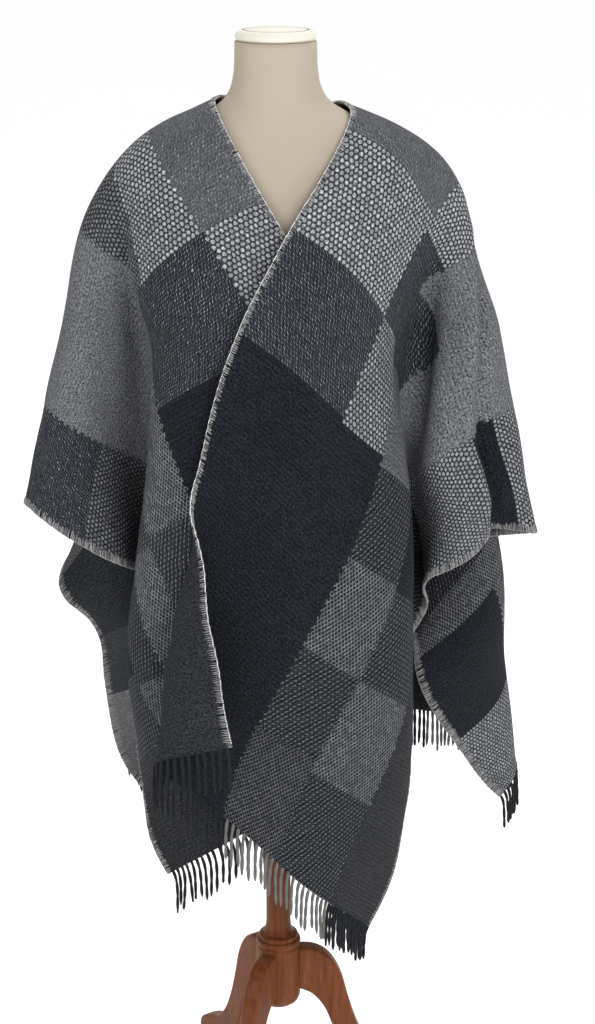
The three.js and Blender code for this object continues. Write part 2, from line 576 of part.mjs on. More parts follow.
// Closed solids from three's geometry and back again.
function toManifold(geometry) {
  let plain = geometry.clone();
  plain.deleteAttribute("normal");
  plain.deleteAttribute("uv");
  plain = mergeVertices(plain, 1e-4);
  const mesh = new Mesh({
    numProp: 3,
    vertProperties: new Float32Array(plain.attributes.position.array),
    triVerts: new Uint32Array(plain.index.array),
  });
  mesh.merge();
  return new Manifold(mesh);
}

function fromManifold(solid) {
  const mesh = solid.getMesh();
  const geometry = new THREE.BufferGeometry();
  geometry.setAttribute("position", new THREE.Float32BufferAttribute(mesh.vertProperties, 3));
  geometry.setIndex([...mesh.triVerts]);
  return geometry;
}

// A closed solid through rings of equal count, first ring lowest, rings turning left seen from
// the far end. slant picks the other diagonal of every four-sided face.
function loft(rings, slant = false) {
  const sides = rings[0].length;
  const positions = rings.flat().flatMap((v) => [v.x, v.y, v.z]);
  const triangles = [];
  for (let r = 0; r + 1 < rings.length; r++) {
    for (let s = 0; s < sides; s++) {
      const a = r * sides + s;
      const b = r * sides + ((s + 1) % sides);
      if (slant) triangles.push(a, b, b + sides, a, b + sides, a + sides);
      else triangles.push(a, b, a + sides, b, b + sides, a + sides);
    }
  }
  const top = (rings.length - 1) * sides;
  for (let s = 1; s + 1 < sides; s++) {
    triangles.push(0, s + 1, s);
    triangles.push(top, top + s, top + s + 1);
  }
  const geometry = new THREE.BufferGeometry();
  geometry.setAttribute("position", new THREE.Float32BufferAttribute(positions, 3));
  geometry.setIndex(triangles);
  return geometry;
}

// A fringe: a strip below the hem that carries a row of strands. The strip's edge is cut along
// the same diagonals as the hem, so the two stay GAP apart.
function fringeGeometry(stations, outerFirst) {
  const rings = stations.map(({ point, out, normal }) => {
    const half = normal.clone().multiplyScalar(WALL / 2);
    const near = point.clone().addScaledVector(out, GAP);
    const far = point.clone().addScaledVector(out, GAP + STRIP);
    return [near.clone().sub(half), near.clone().add(half), far.clone().add(half), far.clone().sub(half)];
  });
  let strip = toManifold(loft(rings, !outerFirst));
  if (strip.volume() < 0) {
    strip = toManifold(loft(rings.map((ring) => [...ring].reverse()), outerFirst));
  }
  const strands = [];
  let run = STRAND_PITCH / 2;
  for (let i = 0; i + 1 < stations.length; i++) {
    const a = stations[i];
    const b = stations[i + 1];
    const length = a.point.distanceTo(b.point);
    while (run < length) {
      const t = run / length;
      const out = a.out.clone().lerp(b.out, t).normalize();
      const point = a.point.clone().lerp(b.point, t).addScaledVector(out, GAP + STRIP - ROOT_DEPTH);
      const count = strands.length;
      const sway = new THREE.Vector3(Math.sin(count * 2.3) * 0.05, Math.cos(count * 1.7) * 0.05, -1);
      const hang = sway.addScaledVector(out, 0.25).normalize();
      strands.push(strandSolid(point, hang, a.point.clone().sub(b.point).normalize()));
      run += STRAND_PITCH;
    }
    run -= length;
  }
  return fromManifold(Manifold.union([strip, ...strands]));
}

// One strand, thin at its root and full at its end.
function strandSolid(root, hang, side) {
  const across = side.clone().addScaledVector(hang, -side.dot(hang)).normalize();
  const through = hang.clone().cross(across);
  const ring = (distance, radius) => {
    const points = [];
    for (let k = 0; k < STRAND_SIDES; k++) {
      const angle = (k / STRAND_SIDES) * Math.PI * 2;
      const p = root.clone().addScaledVector(hang, distance);
      p.addScaledVector(across, Math.cos(angle) * radius);
      points.push(p.addScaledVector(through, Math.sin(angle) * radius));
    }
    return points;
  };
  return toManifold(loft([ring(0, ROOT_RADIUS), ring(STRAND_LENGTH, STRAND_RADIUS)]));
}

// The hem of one half, spot by spot, with the way out of the cloth and the cloth's normal.
function hemStations(side, row, fromCol, toCol) {
  const stations = [];
  const inner = row > 0 ? row - 1 : row + 1;
  for (let col = fromCol; col <= toCol; col++) {
    const point = at(side, col, row);
    const normal = normals.get(spotNumber(side, col, row)).clone();
    const out = point.clone().sub(at(side, col, inner));
    out.addScaledVector(normal, -out.dot(normal)).normalize();
    stations.push({ point, out, normal });
  }
  return stations;
}

// The dress form, lofted through its level sections.
function formGeometry() {
  const rings = [...FORM_SECTIONS].reverse().map((s) => {
    const ring = [];
    for (let k = 0; k < FORM_SIDES; k++) {
      const angle = (k / FORM_SIDES) * Math.PI * 2;
      const c = Math.cos(angle);
      const d = Math.sin(angle);
      const power = 2 / FORM_POWER;
      const x = Math.sign(c) * Math.pow(Math.abs(c), power) * s.halfWidth;
      const y = Math.sign(d) * Math.pow(Math.abs(d), power) * s.halfDepth + s.centreY;
      ring.push(new THREE.Vector3(x, y, s.z));
    }
    return ring;
  });
  return loft(rings);
}

// A turned solid round the column's axis.
function turned(profile, sides) {
  const points = profile.map((row) => new THREE.Vector2(row.radius, row.z));
  const geometry = new THREE.LatheGeometry(points, sides);
  geometry.rotateX(Math.PI / 2);
  return geometry;
}

// Turned profiles, from the bottom up: the cap on the neck, and the column with its hub, the
// ringed collar above it and the plate under the form.
const CAP_PROFILE = [
  { radius: 0, z: 1453.3 },
  { radius: 47, z: 1453.3 },
  { radius: 49, z: 1456 },
  { radius: 48, z: 1461 },
  { radius: 44, z: 1465 },
  { radius: 0, z: 1466 },
];

const COLUMN_PROFILE = [
  { radius: 0, z: 150 },
  { radius: 18, z: 150 },
  { radius: 26, z: 154 },
  { radius: HUB_RADIUS, z: 163 },
  { radius: HUB_RADIUS, z: 238 },
  { radius: 28, z: 243 },
  { radius: 30, z: 247 },
  { radius: 29, z: 252 },
  { radius: 25, z: 254 },
  { radius: 27, z: 259 },
  { radius: 25, z: 264 },
  { radius: 21, z: 270 },
  { radius: COLUMN_RADIUS, z: 280 },
  { radius: COLUMN_RADIUS, z: 738 },
  { radius: 34, z: 742 },
  { radius: 34, z: FORM_BOTTOM - GAP },
  { radius: 0, z: FORM_BOTTOM - GAP },
];

// Side view of a leg: the upper line out to the toe, then the lower line back to the hub.
const LEG_OUTLINE = [
  { radius: 20, z: 236 },
  { radius: 48, z: 234 },
  { radius: 70, z: 220 },
  { radius: 86, z: 192 },
  { radius: 96, z: 155 },
  { radius: 108, z: 116 },
  { radius: 124, z: 82 },
  { radius: 146, z: 58 },
  { radius: 172, z: 46 },
  { radius: 190, z: 34 },
  { radius: 192, z: 18 },
  { radius: 180, z: 0 },
  { radius: 156, z: 0 },
  { radius: 132, z: 14 },
  { radius: 106, z: 42 },
  { radius: 86, z: 78 },
  { radius: 74, z: 114 },
  { radius: 62, z: 144 },
  { radius: 44, z: 166 },
  { radius: 20, z: 176 },
];

// A leg sawn from a board, its edges bevelled, hollowed to the hub that it meets.
function legGeometry(azimuth) {
  const shape = new THREE.Shape(LEG_OUTLINE.map((row) => new THREE.Vector2(row.radius, row.z)));
  const geometry = new THREE.ExtrudeGeometry(shape, {
    depth: LEG_THICKNESS - 2 * LEG_BEVEL,
    bevelEnabled: true,
    bevelThickness: LEG_BEVEL,
    bevelSize: LEG_BEVEL,
    bevelOffset: -LEG_BEVEL,
    bevelSegments: 1,
  });
  geometry.translate(0, 0, -LEG_THICKNESS / 2 + LEG_BEVEL);
  geometry.rotateX(Math.PI / 2);
  geometry.rotateZ((azimuth * Math.PI) / 180);
  const leg = toManifold(geometry);
  const core = Manifold.cylinder(400, HUB_RADIUS + GAP, HUB_RADIUS + GAP, 24).translate([0, 0, 50]);
  return fromManifold(leg.subtract(core));
}

// The group of named pieces.
const wool = { color: 0x54575e, roughness: 0.95, metalness: 0 };
const yarn = { color: 0x8b8d92, roughness: 0.95, metalness: 0 };
const linen = { color: 0xe9e2cf, roughness: 0.85, metalness: 0 };
const wood = { color: 0xb0703c, roughness: 0.45, metalness: 0 };
const group = new THREE.Group();
function add(name, geometry, look) {
  let plain = geometry;
  plain.deleteAttribute("normal");
  plain.deleteAttribute("uv");
  plain = mergeVertices(plain, 1e-4);
  plain.computeVertexNormals();
  const mesh = new THREE.Mesh(plain, new THREE.MeshStandardMaterial(look));
  mesh.name = name;
  group.add(mesh);
}

add("woven_panel", clothGeometry(), wool);
add("fringe_front_left", fringeGeometry(hemStations(0, FRONT_ROWS, 0, HALF_COLS), false), yarn);
add("fringe_front_right", fringeGeometry(hemStations(1, FRONT_ROWS, 0, HALF_COLS), true), yarn);
const backHem = [
  ...hemStations(1, -BACK_ROWS, 1, HALF_COLS).reverse(),
  ...hemStations(0, -BACK_ROWS, 0, HALF_COLS),
];
add("fringe_back", fringeGeometry(backHem, true), yarn);
add("dress_form", formGeometry(), linen);
add("neck_cap", turned(CAP_PROFILE, 28), linen);
add("stand_column", turned(COLUMN_PROFILE, 24), wood);
for (const [name, azimuth] of Object.entries(LEG_AZIMUTHS)) {
  add(`stand_leg_${name}`, legGeometry(azimuth), wood);
}

// Move the origin to the bottom centre of the whole.
const box = new THREE.Box3().setFromObject(group);
const middle = box.getCenter(new THREE.Vector3());
for (const mesh of group.children) mesh.geometry.translate(-middle.x, -middle.y, -box.min.z);

export default group;
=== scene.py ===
# %% [markdown]
# # A wool poncho on a dress form
#
# The poncho is one oblong of thick double woven wool. A straight slit runs from the middle of
# the front hem to the nape, a light blanket stitch edges the slit and the long sides, and the
# short ends are fringed. It hangs open on a limbless dress form with a three-legged wooden stand.
#
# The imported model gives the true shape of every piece. This script reads it as a fixed frame,
# and gives each piece its finish: weave, yarn, stitches, cover cloth and wood grain.

# %% Load the frame
import math
import random

import bmesh
import bpy
import numpy as np
from mathutils import Matrix, Vector


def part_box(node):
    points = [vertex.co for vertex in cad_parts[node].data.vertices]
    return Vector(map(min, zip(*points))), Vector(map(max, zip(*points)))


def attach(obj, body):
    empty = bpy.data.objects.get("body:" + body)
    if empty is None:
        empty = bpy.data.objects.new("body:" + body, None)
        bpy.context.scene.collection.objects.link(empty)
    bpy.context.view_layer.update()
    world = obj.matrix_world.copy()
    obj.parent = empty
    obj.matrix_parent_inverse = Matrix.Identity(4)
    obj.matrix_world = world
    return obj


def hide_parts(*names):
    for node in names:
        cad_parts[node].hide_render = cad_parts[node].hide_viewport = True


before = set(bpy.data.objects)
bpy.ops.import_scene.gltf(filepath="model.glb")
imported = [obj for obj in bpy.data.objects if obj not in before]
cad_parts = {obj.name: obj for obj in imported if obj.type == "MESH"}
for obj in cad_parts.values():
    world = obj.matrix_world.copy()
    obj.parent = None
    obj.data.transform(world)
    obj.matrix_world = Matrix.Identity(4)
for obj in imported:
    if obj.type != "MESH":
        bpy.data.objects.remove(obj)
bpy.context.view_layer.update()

# %% [markdown]
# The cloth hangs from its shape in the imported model, whose mesh is a grid of 35 mm squares, two
# triangles each. Its sizes are counted in those squares.

# %% Sizes of the flat cloth
CELL = 0.035
HALF_COLS = 18  # squares from the slit to a side edge
FRONT_ROWS = 26  # squares from the shoulder line to the front hem
BACK_ROWS = 25
SLIT_ROWS = 3  # squares that the slit runs on behind the shoulder line
ROWS = FRONT_ROWS + BACK_ROWS
WALL = 0.0024
MERGE = 2e-5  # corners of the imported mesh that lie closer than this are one
RIM = 1.7 * WALL  # a face of the wall's rim has an edge shorter than this
LEFT, RIGHT = 0, 1  # halves of the cloth as the wearer has them; the left one lies on top
WIDTH = 2 * HALF_COLS * CELL
LENGTH = ROWS * CELL
print("flat cloth:", round(WIDTH, 3), "by", round(LENGTH, 3), "m, slit",
      round((FRONT_ROWS + SLIT_ROWS) * CELL, 3), "m")

# %% [markdown]
# On the flat cloth every square is the same, so two triangles that share an edge make a
# parallelogram there. Walking from triangle to triangle with that rule gives every corner its
# place on the flat oblong, so the pattern can follow the threads. Both faces of the wall are
# unfolded, and the middle between them is taken.

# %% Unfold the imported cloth
def one_face_of_the_wall(bm):
    """Takes the rim off, so that the inner and the outer face of the wall come apart."""
    rim = [f for f in bm.faces if min(e.calc_length() for e in f.edges) < RIM]
    bmesh.ops.delete(bm, geom=rim, context="FACES_ONLY")
    loose = [e for e in bm.edges if not e.link_faces]
    bmesh.ops.delete(bm, geom=loose, context="EDGES")
    sheets, seen = [], set()
    for start in bm.faces:
        if start in seen:
            continue
        sheet, front = [], [start]
        seen.add(start)
        while front:
            face = front.pop()
            sheet.append(face)
            for edge in face.edges:
                for other in edge.link_faces:
                    if other not in seen:
                        seen.add(other)
                        front.append(other)
        sheets.append(sheet)
    return sheets


def off_square(face):
    """How far a triangle is from half of a 35 mm square."""
    sides = sorted(e.calc_length() for e in face.edges)
    return abs(sides[0] - CELL) + abs(sides[1] - CELL) + abs(sides[2] - CELL * math.sqrt(2))


def unfold(sheet):
    """Gives each vertex of a sheet its whole-number place on the flat cloth."""
    seed = min(sheet, key=off_square)
    slant = max(seed.edges, key=lambda e: e.calc_length())
    corner = next(v for v in seed.verts if v not in slant.verts)
    flat = {corner: (0, 0), slant.verts[0]: (-1, 0), slant.verts[1]: (0, 1)}
    done, front = {seed}, [seed]
    while front:
        face = front.pop()
        for edge in face.edges:
            for other in edge.link_faces:
                if other in done:
                    continue
                done.add(other)
                front.append(other)
                a, b = edge.verts
                across = next(v for v in face.verts if v not in edge.verts)
                new = next(v for v in other.verts if v not in edge.verts)
                flat[new] = tuple(flat[a][k] + flat[b][k] - flat[across][k] for k in (0, 1))
    spread = [max(p[k] for p in flat.values()) - min(p[k] for p in flat.values()) for k in (0, 1)]
    if spread[0] > spread[1]:
        flat = {v: (p[1], p[0]) for v, p in flat.items()}
    low = [min(p[k] for p in flat.values()) for k in (0, 1)]
    flat = {v: (p[0] - low[0] - HALF_COLS, p[1] - low[1]) for v, p in flat.items()}
    at_the_end = [v for v, p in flat.items() if p == (0, 0)]
    if len(at_the_end) == 2:  # the slit opens at the front hem, so the front is at the far end
        flat = {v: (-p[0], ROWS - p[1]) for v, p in flat.items()}
    if sum(v.co.x * p[0] for v, p in flat.items()) < 0:  # the wearer's left is at positive x
        flat = {v: (-p[0], p[1]) for v, p in flat.items()}
    return flat


def hanging_grid():
    """The middle of the wall: [half, column, row from the back hem, xyz]."""
    bm = bmesh.new()
    bm.from_mesh(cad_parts["woven_panel"].data)
    bmesh.ops.remove_doubles(bm, verts=bm.verts, dist=MERGE)
    sheets = one_face_of_the_wall(bm)
    places = {}
    for number, sheet in enumerate(sheets):
        flat = unfold(sheet)
        for face in sheet:
            half = LEFT if sum(flat[v][0] for v in face.verts) > 0 else RIGHT
            for v in face.verts:
                col, row = flat[v]
                places.setdefault((half, abs(col), row), {})[number] = tuple(v.co)
    grid = np.zeros((2, HALF_COLS + 1, ROWS + 1, 3))
    for spot, found in places.items():
        grid[spot] = np.mean(list(found.values()), axis=0)
    print("sheets:", [len(sheet) for sheet in sheets], "grid spots:", len(places))
    bm.free()
    return grid


hung = hanging_grid()
print("front corners:", hung[LEFT, -1, -1].round(3), hung[RIGHT, -1, -1].round(3))

# %% [markdown]
# Between the corners of the 35 mm squares the cloth bends smoothly. A smooth curve through each
# row and column of the grid gives squares a quarter as wide, and the two halves share one curve
# where the slit is shut.

# %% Refine the grid
FINER = 4
SHUT = (BACK_ROWS - SLIT_ROWS) * FINER  # the fine row where the slit ends, from the back hem
LAST_ROW = ROWS * FINER
LAST_COL = HALF_COLS * FINER


def between(a, b, c, d, t):
    """A place from b to c on the smooth curve through a, b, c and d."""
    return 0.5 * (2 * b + (c - a) * t + (2 * a - 5 * b + 4 * c - d) * t * t
                  + (3 * b - a - 3 * c + d) * t ** 3)


def finer_rows(points, before, after):
    """Points along the first axis, FINER times as many, through all of the given ones."""
    p = np.concatenate([before[None], points, after[None]])
    run = [between(*p[k:k + 4], step / FINER)
           for k in range(len(points) - 1) for step in range(FINER)]
    return np.array(run + [points[-1]])


def refine(grid):
    halves = []
    for half in (LEFT, RIGHT):
        g = np.swapaxes(grid[half], 0, 1)
        g = finer_rows(g, 2 * g[0] - g[1], 2 * g[-1] - g[-2])
        halves.append(np.swapaxes(g, 0, 1))
    middle = (halves[LEFT][0, :SHUT + 1] + halves[RIGHT][0, :SHUT + 1]) / 2
    for half in (LEFT, RIGHT):
        halves[half][0, :SHUT + 1] = middle
    fine = []
    for half in (LEFT, RIGHT):
        g = halves[half]
        before = 2 * g[0] - g[1]
        before[:SHUT + 1] = halves[1 - half][1, :SHUT + 1]
        fine.append(finer_rows(g, before, 2 * g[-1] - g[-2]))
    return np.array(fine)


fine = refine(hung)
print("fine grid:", fine.shape)

# %% [markdown]
# Wool this thick has no small wrinkles of its own, only soft troughs and ridges where a fold
# starts or where two folds meet. A short table places them, as unequal in length, depth
# and spacing as they are on the real thing, with similar ones down the back.

# %% Soft troughs and ridges
# A row is the start and the end of a crease, its depth and its width. Places are metres on the
# flat cloth: across from the slit, and along from the shoulder line, positive down the front.
# The depth is into the cloth, or out of it where it is negative.
CREASES = {
    LEFT: [
        ((0.255, 0.005), (0.430, 0.093), 0.013, 0.011),
        ((0.400, 0.080), (0.640, 0.118), 0.015, 0.011),
        ((0.230, 0.010), (0.430, 0.112), -0.007, 0.014),
        ((0.400, 0.104), (0.640, 0.148), -0.008, 0.016),
        ((0.210, 0.075), (0.430, 0.215), 0.020, 0.019),
        ((0.215, -0.05), (0.330, 0.03), 0.009, 0.045),
        ((0.16, 0.02), (0.34, 0.34), 0.003, 0.022),
        ((0.27, 0.10), (0.40, 0.52), -0.003, 0.026),
        ((0.06, 0.42), (0.19, 0.80), 0.003, 0.030),
        ((0.20, 0.48), (0.36, 0.88), 0.004, 0.034),
        ((0.44, 0.02), (0.60, 0.14), 0.003, 0.024),
        ((0.30, -0.12), (0.46, -0.50), 0.005, 0.035),
        ((0.12, -0.16), (0.20, -0.62), 0.004, 0.030),
        ((0.05, -0.34), (0.09, -0.80), -0.003, 0.028),
    ],
    RIGHT: [
        ((0.160, 0.080), (0.400, 0.225), 0.014, 0.018),
        ((0.14, 0.04), (0.25, 0.40), 0.003, 0.024),
        ((0.24, 0.30), (0.44, 0.74), 0.004, 0.028),
        ((0.36, 0.06), (0.52, 0.20), -0.003, 0.026),
        ((0.47, 0.02), (0.58, 0.10), 0.003, 0.018),
        ((0.28, -0.10), (0.40, -0.44), 0.005, 0.034),
        ((0.15, -0.22), (0.25, -0.70), -0.004, 0.032),
        ((0.03, -0.18), (0.06, -0.52), 0.003, 0.026),
    ],
}
CLEAR_OF_SLIT = 0.03  # creases fade out over this distance from the slit


def outward_normals():
    """Columns run away from the slit, rows from the back hem to the front."""
    n = np.cross(np.gradient(fine, axis=2), np.gradient(fine, axis=1))
    n[RIGHT] *= -1
    return n / np.maximum(np.linalg.norm(n, axis=3, keepdims=True), 1e-9)


normals = outward_normals()
col_at = np.arange(fine.shape[1]) * CELL / FINER
row_at = np.arange(fine.shape[2]) * CELL / FINER - BACK_ROWS * CELL
across_at, along_at = np.meshgrid(col_at, row_at, indexing="ij")
for half, creases in CREASES.items():
    for start, end, depth, width in creases:
        a, way = np.array(start), np.array(end) - np.array(start)
        run = (across_at - a[0]) * way[0] + (along_at - a[1]) * way[1]
        t = np.clip(run / np.dot(way, way), 0, 1)
        off = np.hypot(across_at - a[0] - t * way[0], along_at - a[1] - t * way[1])
        trough = np.exp(-(off / width) ** 2) * np.sin(math.pi * (0.08 + 0.84 * t))
        trough *= np.clip(across_at / CLEAR_OF_SLIT, 0, 1)
        fine[half] -= normals[half] * (trough * depth)[..., None]
normals = outward_normals()
print("creases:", sum(len(creases) for creases in CREASES.values()))

# %% [markdown]
# The cloth is made as the real one is: a flat oblong comes first, which takes its place on the
# flat cloth as UV coordinates, then the slit is cut, and only then is it hung on the fine grid.

# %% Make the oblong, cut the slit and hang it
UV_SPAN = 2.0  # metres of flat cloth in one unit of the UV map
NEARLY = 1e-4
TEST_SPOT = (RIGHT, 60, 40)  # half, column and row where the outward side is tested


def finished(bm, name):
    """The mesh worked out in bm."""
    mesh = bpy.data.meshes.new(name)
    bm.to_mesh(mesh)
    bm.free()
    return mesh


def hang_cloth():
    bm = bmesh.new()
    bmesh.ops.create_grid(bm, x_segments=2 * LAST_COL, y_segments=LAST_ROW, size=0.5)
    bmesh.ops.scale(bm, vec=(WIDTH, LENGTH, 1), verts=bm.verts)
    bmesh.ops.translate(bm, vec=(0, LENGTH / 2 - BACK_ROWS * CELL, 0), verts=bm.verts)
    slit = [e for e in bm.edges
            if all(abs(v.co.x) < NEARLY and v.co.y > -SLIT_ROWS * CELL - NEARLY for v in e.verts)]
    bmesh.ops.split_edges(bm, edges=slit)
    uv = bm.loops.layers.uv.new("flat_cloth")
    for face in bm.faces:
        face.smooth = True
        for loop in face.loops:
            flat = loop.vert.co
            loop[uv].uv = (flat.x / UV_SPAN + 0.5, flat.y / UV_SPAN + 0.5)
    hung_at = {}
    for v in bm.verts:
        side = v.link_faces[0].calc_center_median().x
        half = LEFT if side > 0 else RIGHT
        col = round(abs(v.co.x) * FINER / CELL)
        row = round((v.co.y + BACK_ROWS * CELL) * FINER / CELL)
        hung_at[v] = fine[half, col, row]
    for v, place in hung_at.items():
        v.co = place
    bm.normal_update()
    spot = Vector(fine[TEST_SPOT])
    tested = min(bm.verts, key=lambda v: (v.co - spot).length)
    inward = tested.normal.dot(Vector(normals[TEST_SPOT])) < 0
    if inward:
        bmesh.ops.reverse_faces(bm, faces=bm.faces[:])
    print("faces turned:", inward)
    return finished(bm, "poncho_cloth")


def add_piece(name, mesh, *materials):
    piece = bpy.data.objects.new(name, mesh)
    bpy.context.scene.collection.objects.link(piece)
    for material in materials:
        mesh.materials.append(material)
    return piece


def triangles(mesh):
    return sum(len(face.vertices) - 2 for face in mesh.polygons)


cloth_mesh = hang_cloth()
print("cloth squares:", len(cloth_mesh.polygons))

# %% [markdown]
# Finishes are written as expressions. A `Signal` is one output of a node, and sums, products and
# comparisons of signals add their Math nodes, so a pattern reads like the sum that describes it.

# %% A small language for finishes
class Signal:
    def __init__(self, finish, socket):
        self.finish, self.socket = finish, socket

    def maths(self, operation, *values):
        inputs = dict(enumerate(values))
        return self.finish.node("ShaderNodeMath", {"operation": operation}, inputs)

    def __add__(self, other):
        return self.maths("ADD", self, other)

    def __radd__(self, other):
        return self.maths("ADD", other, self)

    def __sub__(self, other):
        return self.maths("SUBTRACT", self, other)

    def __rsub__(self, other):
        return self.maths("SUBTRACT", other, self)

    def __mul__(self, other):
        return self.maths("MULTIPLY", self, other)

    def __rmul__(self, other):
        return self.maths("MULTIPLY", other, self)

    def __truediv__(self, other):
        return self.maths("DIVIDE", self, other)

    def __gt__(self, other):
        return self.maths("GREATER_THAN", self, other)

    def floor(self):
        return self.maths("FLOOR", self)

    def size(self):
        return self.maths("ABSOLUTE", self)

    def fade(self, low, high):
        """1 at or under low, 0 at or over high, smooth between."""
        settings = {"interpolation_type": "SMOOTHSTEP"}
        inputs = {0: self, 1: low, 2: high, 3: 1.0, 4: 0.0}
        return self.finish.node("ShaderNodeMapRange", settings, inputs)


class Finish:
    """A material under construction round its Principled shader."""

    def __init__(self, name, **shader):
        self.material = bpy.data.materials.new(name)
        self.material.use_nodes = True
        self.nodes = self.material.node_tree.nodes
        self.links = self.material.node_tree.links
        self.shader = self.nodes["Principled BSDF"]
        for key, value in shader.items():
            self.shader.inputs[key.replace("_", " ")].default_value = value

    def node(self, kind, settings=None, inputs=None, output=0):
        made = self.nodes.new(kind)
        for key, value in (settings or {}).items():
            if key in ("steps", "stops"):
                self.set_stops(made.color_ramp, value, key == "steps")
            else:
                setattr(made, key, value)
        for key, value in (inputs or {}).items():
            if isinstance(value, Signal):
                self.links.new(value.socket, made.inputs[key])
            else:
                made.inputs[key].default_value = value
        return Signal(self, made.outputs[output])

    def set_stops(self, ramp, stops, stepped):
        """stops are (position, colour). A stepped ramp keeps each colour up to the next stop."""
        ramp.interpolation = "CONSTANT" if stepped else "LINEAR"
        while len(ramp.elements) > 1:
            ramp.elements.remove(ramp.elements[-1])
        for k, (position, colour) in enumerate(stops):
            element = ramp.elements[0] if k == 0 else ramp.elements.new(position)
            element.position = position
            element.color = (*colour, 1.0)

    def mix(self, amount, a, b):
        """Colours a and b, mixed by an amount."""
        return self.node("ShaderNodeMix", {"data_type": "RGBA"}, {0: amount, 6: a, 7: b}, 2)

    def here(self):
        """Where a point of the piece lies, in metres."""
        return self.node("ShaderNodeTexCoord", output=3)

    def flat_place(self, across, along):
        return self.node("ShaderNodeCombineXYZ", {}, {0: across, 1: along, 2: 0.0})

    def colour(self, red, green, blue):
        return self.node("ShaderNodeCombineColor", {}, {0: red, 1: green, 2: blue})

    def chance(self, across, along):
        """A random value for each cell, from the middle of the cell in millimetres."""
        cell = self.flat_place(across * 1000, along * 1000)
        settings = {"noise_dimensions": "2D"}
        return self.node("ShaderNodeTexWhiteNoise", settings, {"Vector": cell})

    def noise(self, where, scale, detail=2.0):
        inputs = {"Vector": where, "Scale": scale, "Detail": detail}
        return self.node("ShaderNodeTexNoise", {}, inputs)

    def spread(self, where, x, y, z):
        """A place, stretched by three factors."""
        settings = {"operation": "MULTIPLY"}
        return self.node("ShaderNodeVectorMath", settings, {0: where, 1: (x, y, z)})

    def feed(self, key, signal):
        self.links.new(signal.socket, self.shader.inputs[key])

    def bump(self, height, distance, strength=1.0):
        inputs = {"Height": height, "Distance": distance, "Strength": strength}
        self.feed("Normal", self.node("ShaderNodeBump", {}, inputs))


# %% [markdown]
# The cloth is woven in blocks. In every block a light yarn shows on a dark one in one of a few
# ways: round dots or short strokes in staggered rows of cells, finer slanted flecks, a net, or
# plain ribs. A few textures are darker copies of another, painted shade where a fold or the
# lower cloth gets less light.

# %% Textures and tones of the weave
# A row starts with the shape that the light yarn makes, and without one it is plain. The numbers
# are how much light the light yarn, the dark one and the plain other side give back, and how far
# the wool goes from neutral grey to the bluest one.
LOOKS = {
    "light dots": ("dots", 0.348, 0.036, 0.170, 0.06),
    # a darker copy of the light dots: painted shade in folds, on the left sleeve and down the back
    "shaded dots": ("dots", 0.272, 0.029, 0.110, 0.08),
    # a still darker copy of the dots: painted shade on the right sleeve, beyond its fold
    "deep shaded dots": ("dots", 0.165, 0.017, 0.060, 0.10),
    "mid flecks": ("flecks", 0.385, 0.094, 0.080, 0.10),
    "dark flecks": ("flecks", 0.335, 0.026, 0.050, 0.32),
    "charcoal": ("", 0.019, 0.0065, 0.032, 0.6),
    "soft charcoal": ("", 0.034, 0.016, 0.036, 0.15),
    "plain grey": ("", 0.165, 0.105, 0.100, 0.06),
    # a darker copy of plain grey: painted shade in a fold beside the left sleeve
    "shaded grey": ("", 0.112, 0.066, 0.080, 0.08),
    "light net": ("net", 0.245, 0.023, 0.080, 0.10),
    # a darker copy of the net: painted shade low on the cloth, where less light falls
    "shaded net": ("net", 0.150, 0.016, 0.060, 0.10),
    "dark strokes": ("strokes", 0.172, 0.013, 0.032, 0.25),
    "bright net": ("net", 0.300, 0.030, 0.080, 0.12),
    "bright strokes": ("strokes", 0.245, 0.021, 0.032, 0.15),
}
NUMBERS = ("light", "dark", "reverse", "blue")
LOOK_NUMBER = {name: (k + 0.5) / len(LOOKS) for k, name in enumerate(LOOKS)}

# %% [markdown]
# The charts list the textures of each column of blocks, from the back hem to the front hem, by
# how far the column lies from the slit.

# %% Charts of the blocks
# A column is where it starts, in metres across from the slit, how much farther it lies for each
# metre along, and its blocks. Each block is start: texture, with its start in metres along from
# the shoulder line, below 0 down the back.
LEFT_CHART = [
    (0.0, 0.0, {
        -0.88: "light net", -0.72: "dark strokes", -0.56: "charcoal", -0.33: "dark flecks",
        -0.18: "light dots", -0.06: "mid flecks", 0.062: "light dots", 0.188: "dark flecks",
        0.333: "charcoal"}),
    (0.172, 0.0, {
        -0.88: "dark strokes", -0.72: "light net", -0.56: "dark flecks", -0.33: "light dots",
        -0.18: "mid flecks", -0.06: "light dots", 0.075: "dark flecks", 0.188: "shaded dots",
        0.338: "charcoal"}),
    (0.253, 0.0, {
        -0.88: "soft charcoal", -0.6: "plain grey", -0.33: "light dots", -0.18: "dark flecks",
        -0.06: "plain grey", 0.125: "dark flecks", 0.215: "shaded grey", 0.345: "dark strokes",
        0.468: "light net", 0.597: "dark strokes", 0.73: "shaded net"}),
    (0.35, 0.0, {
        -0.88: "dark flecks", -0.74: "shaded dots", -0.6: "light net", -0.5: "dark strokes",
        -0.33: "dark flecks", -0.16: "plain grey", 0.345: "charcoal", 0.47: "dark strokes",
        0.6: "light net", 0.745: "dark strokes"}),
    (0.467, 0.0, {
        -0.88: "shaded dots", -0.738: "charcoal", -0.56: "light net", -0.5: "dark strokes",
        -0.36: "plain grey", -0.16: "dark flecks", -0.04: "shaded dots", 0.066: "charcoal",
        0.116: "shaded dots", 0.29: "dark strokes", 0.47: "soft charcoal"}),
]
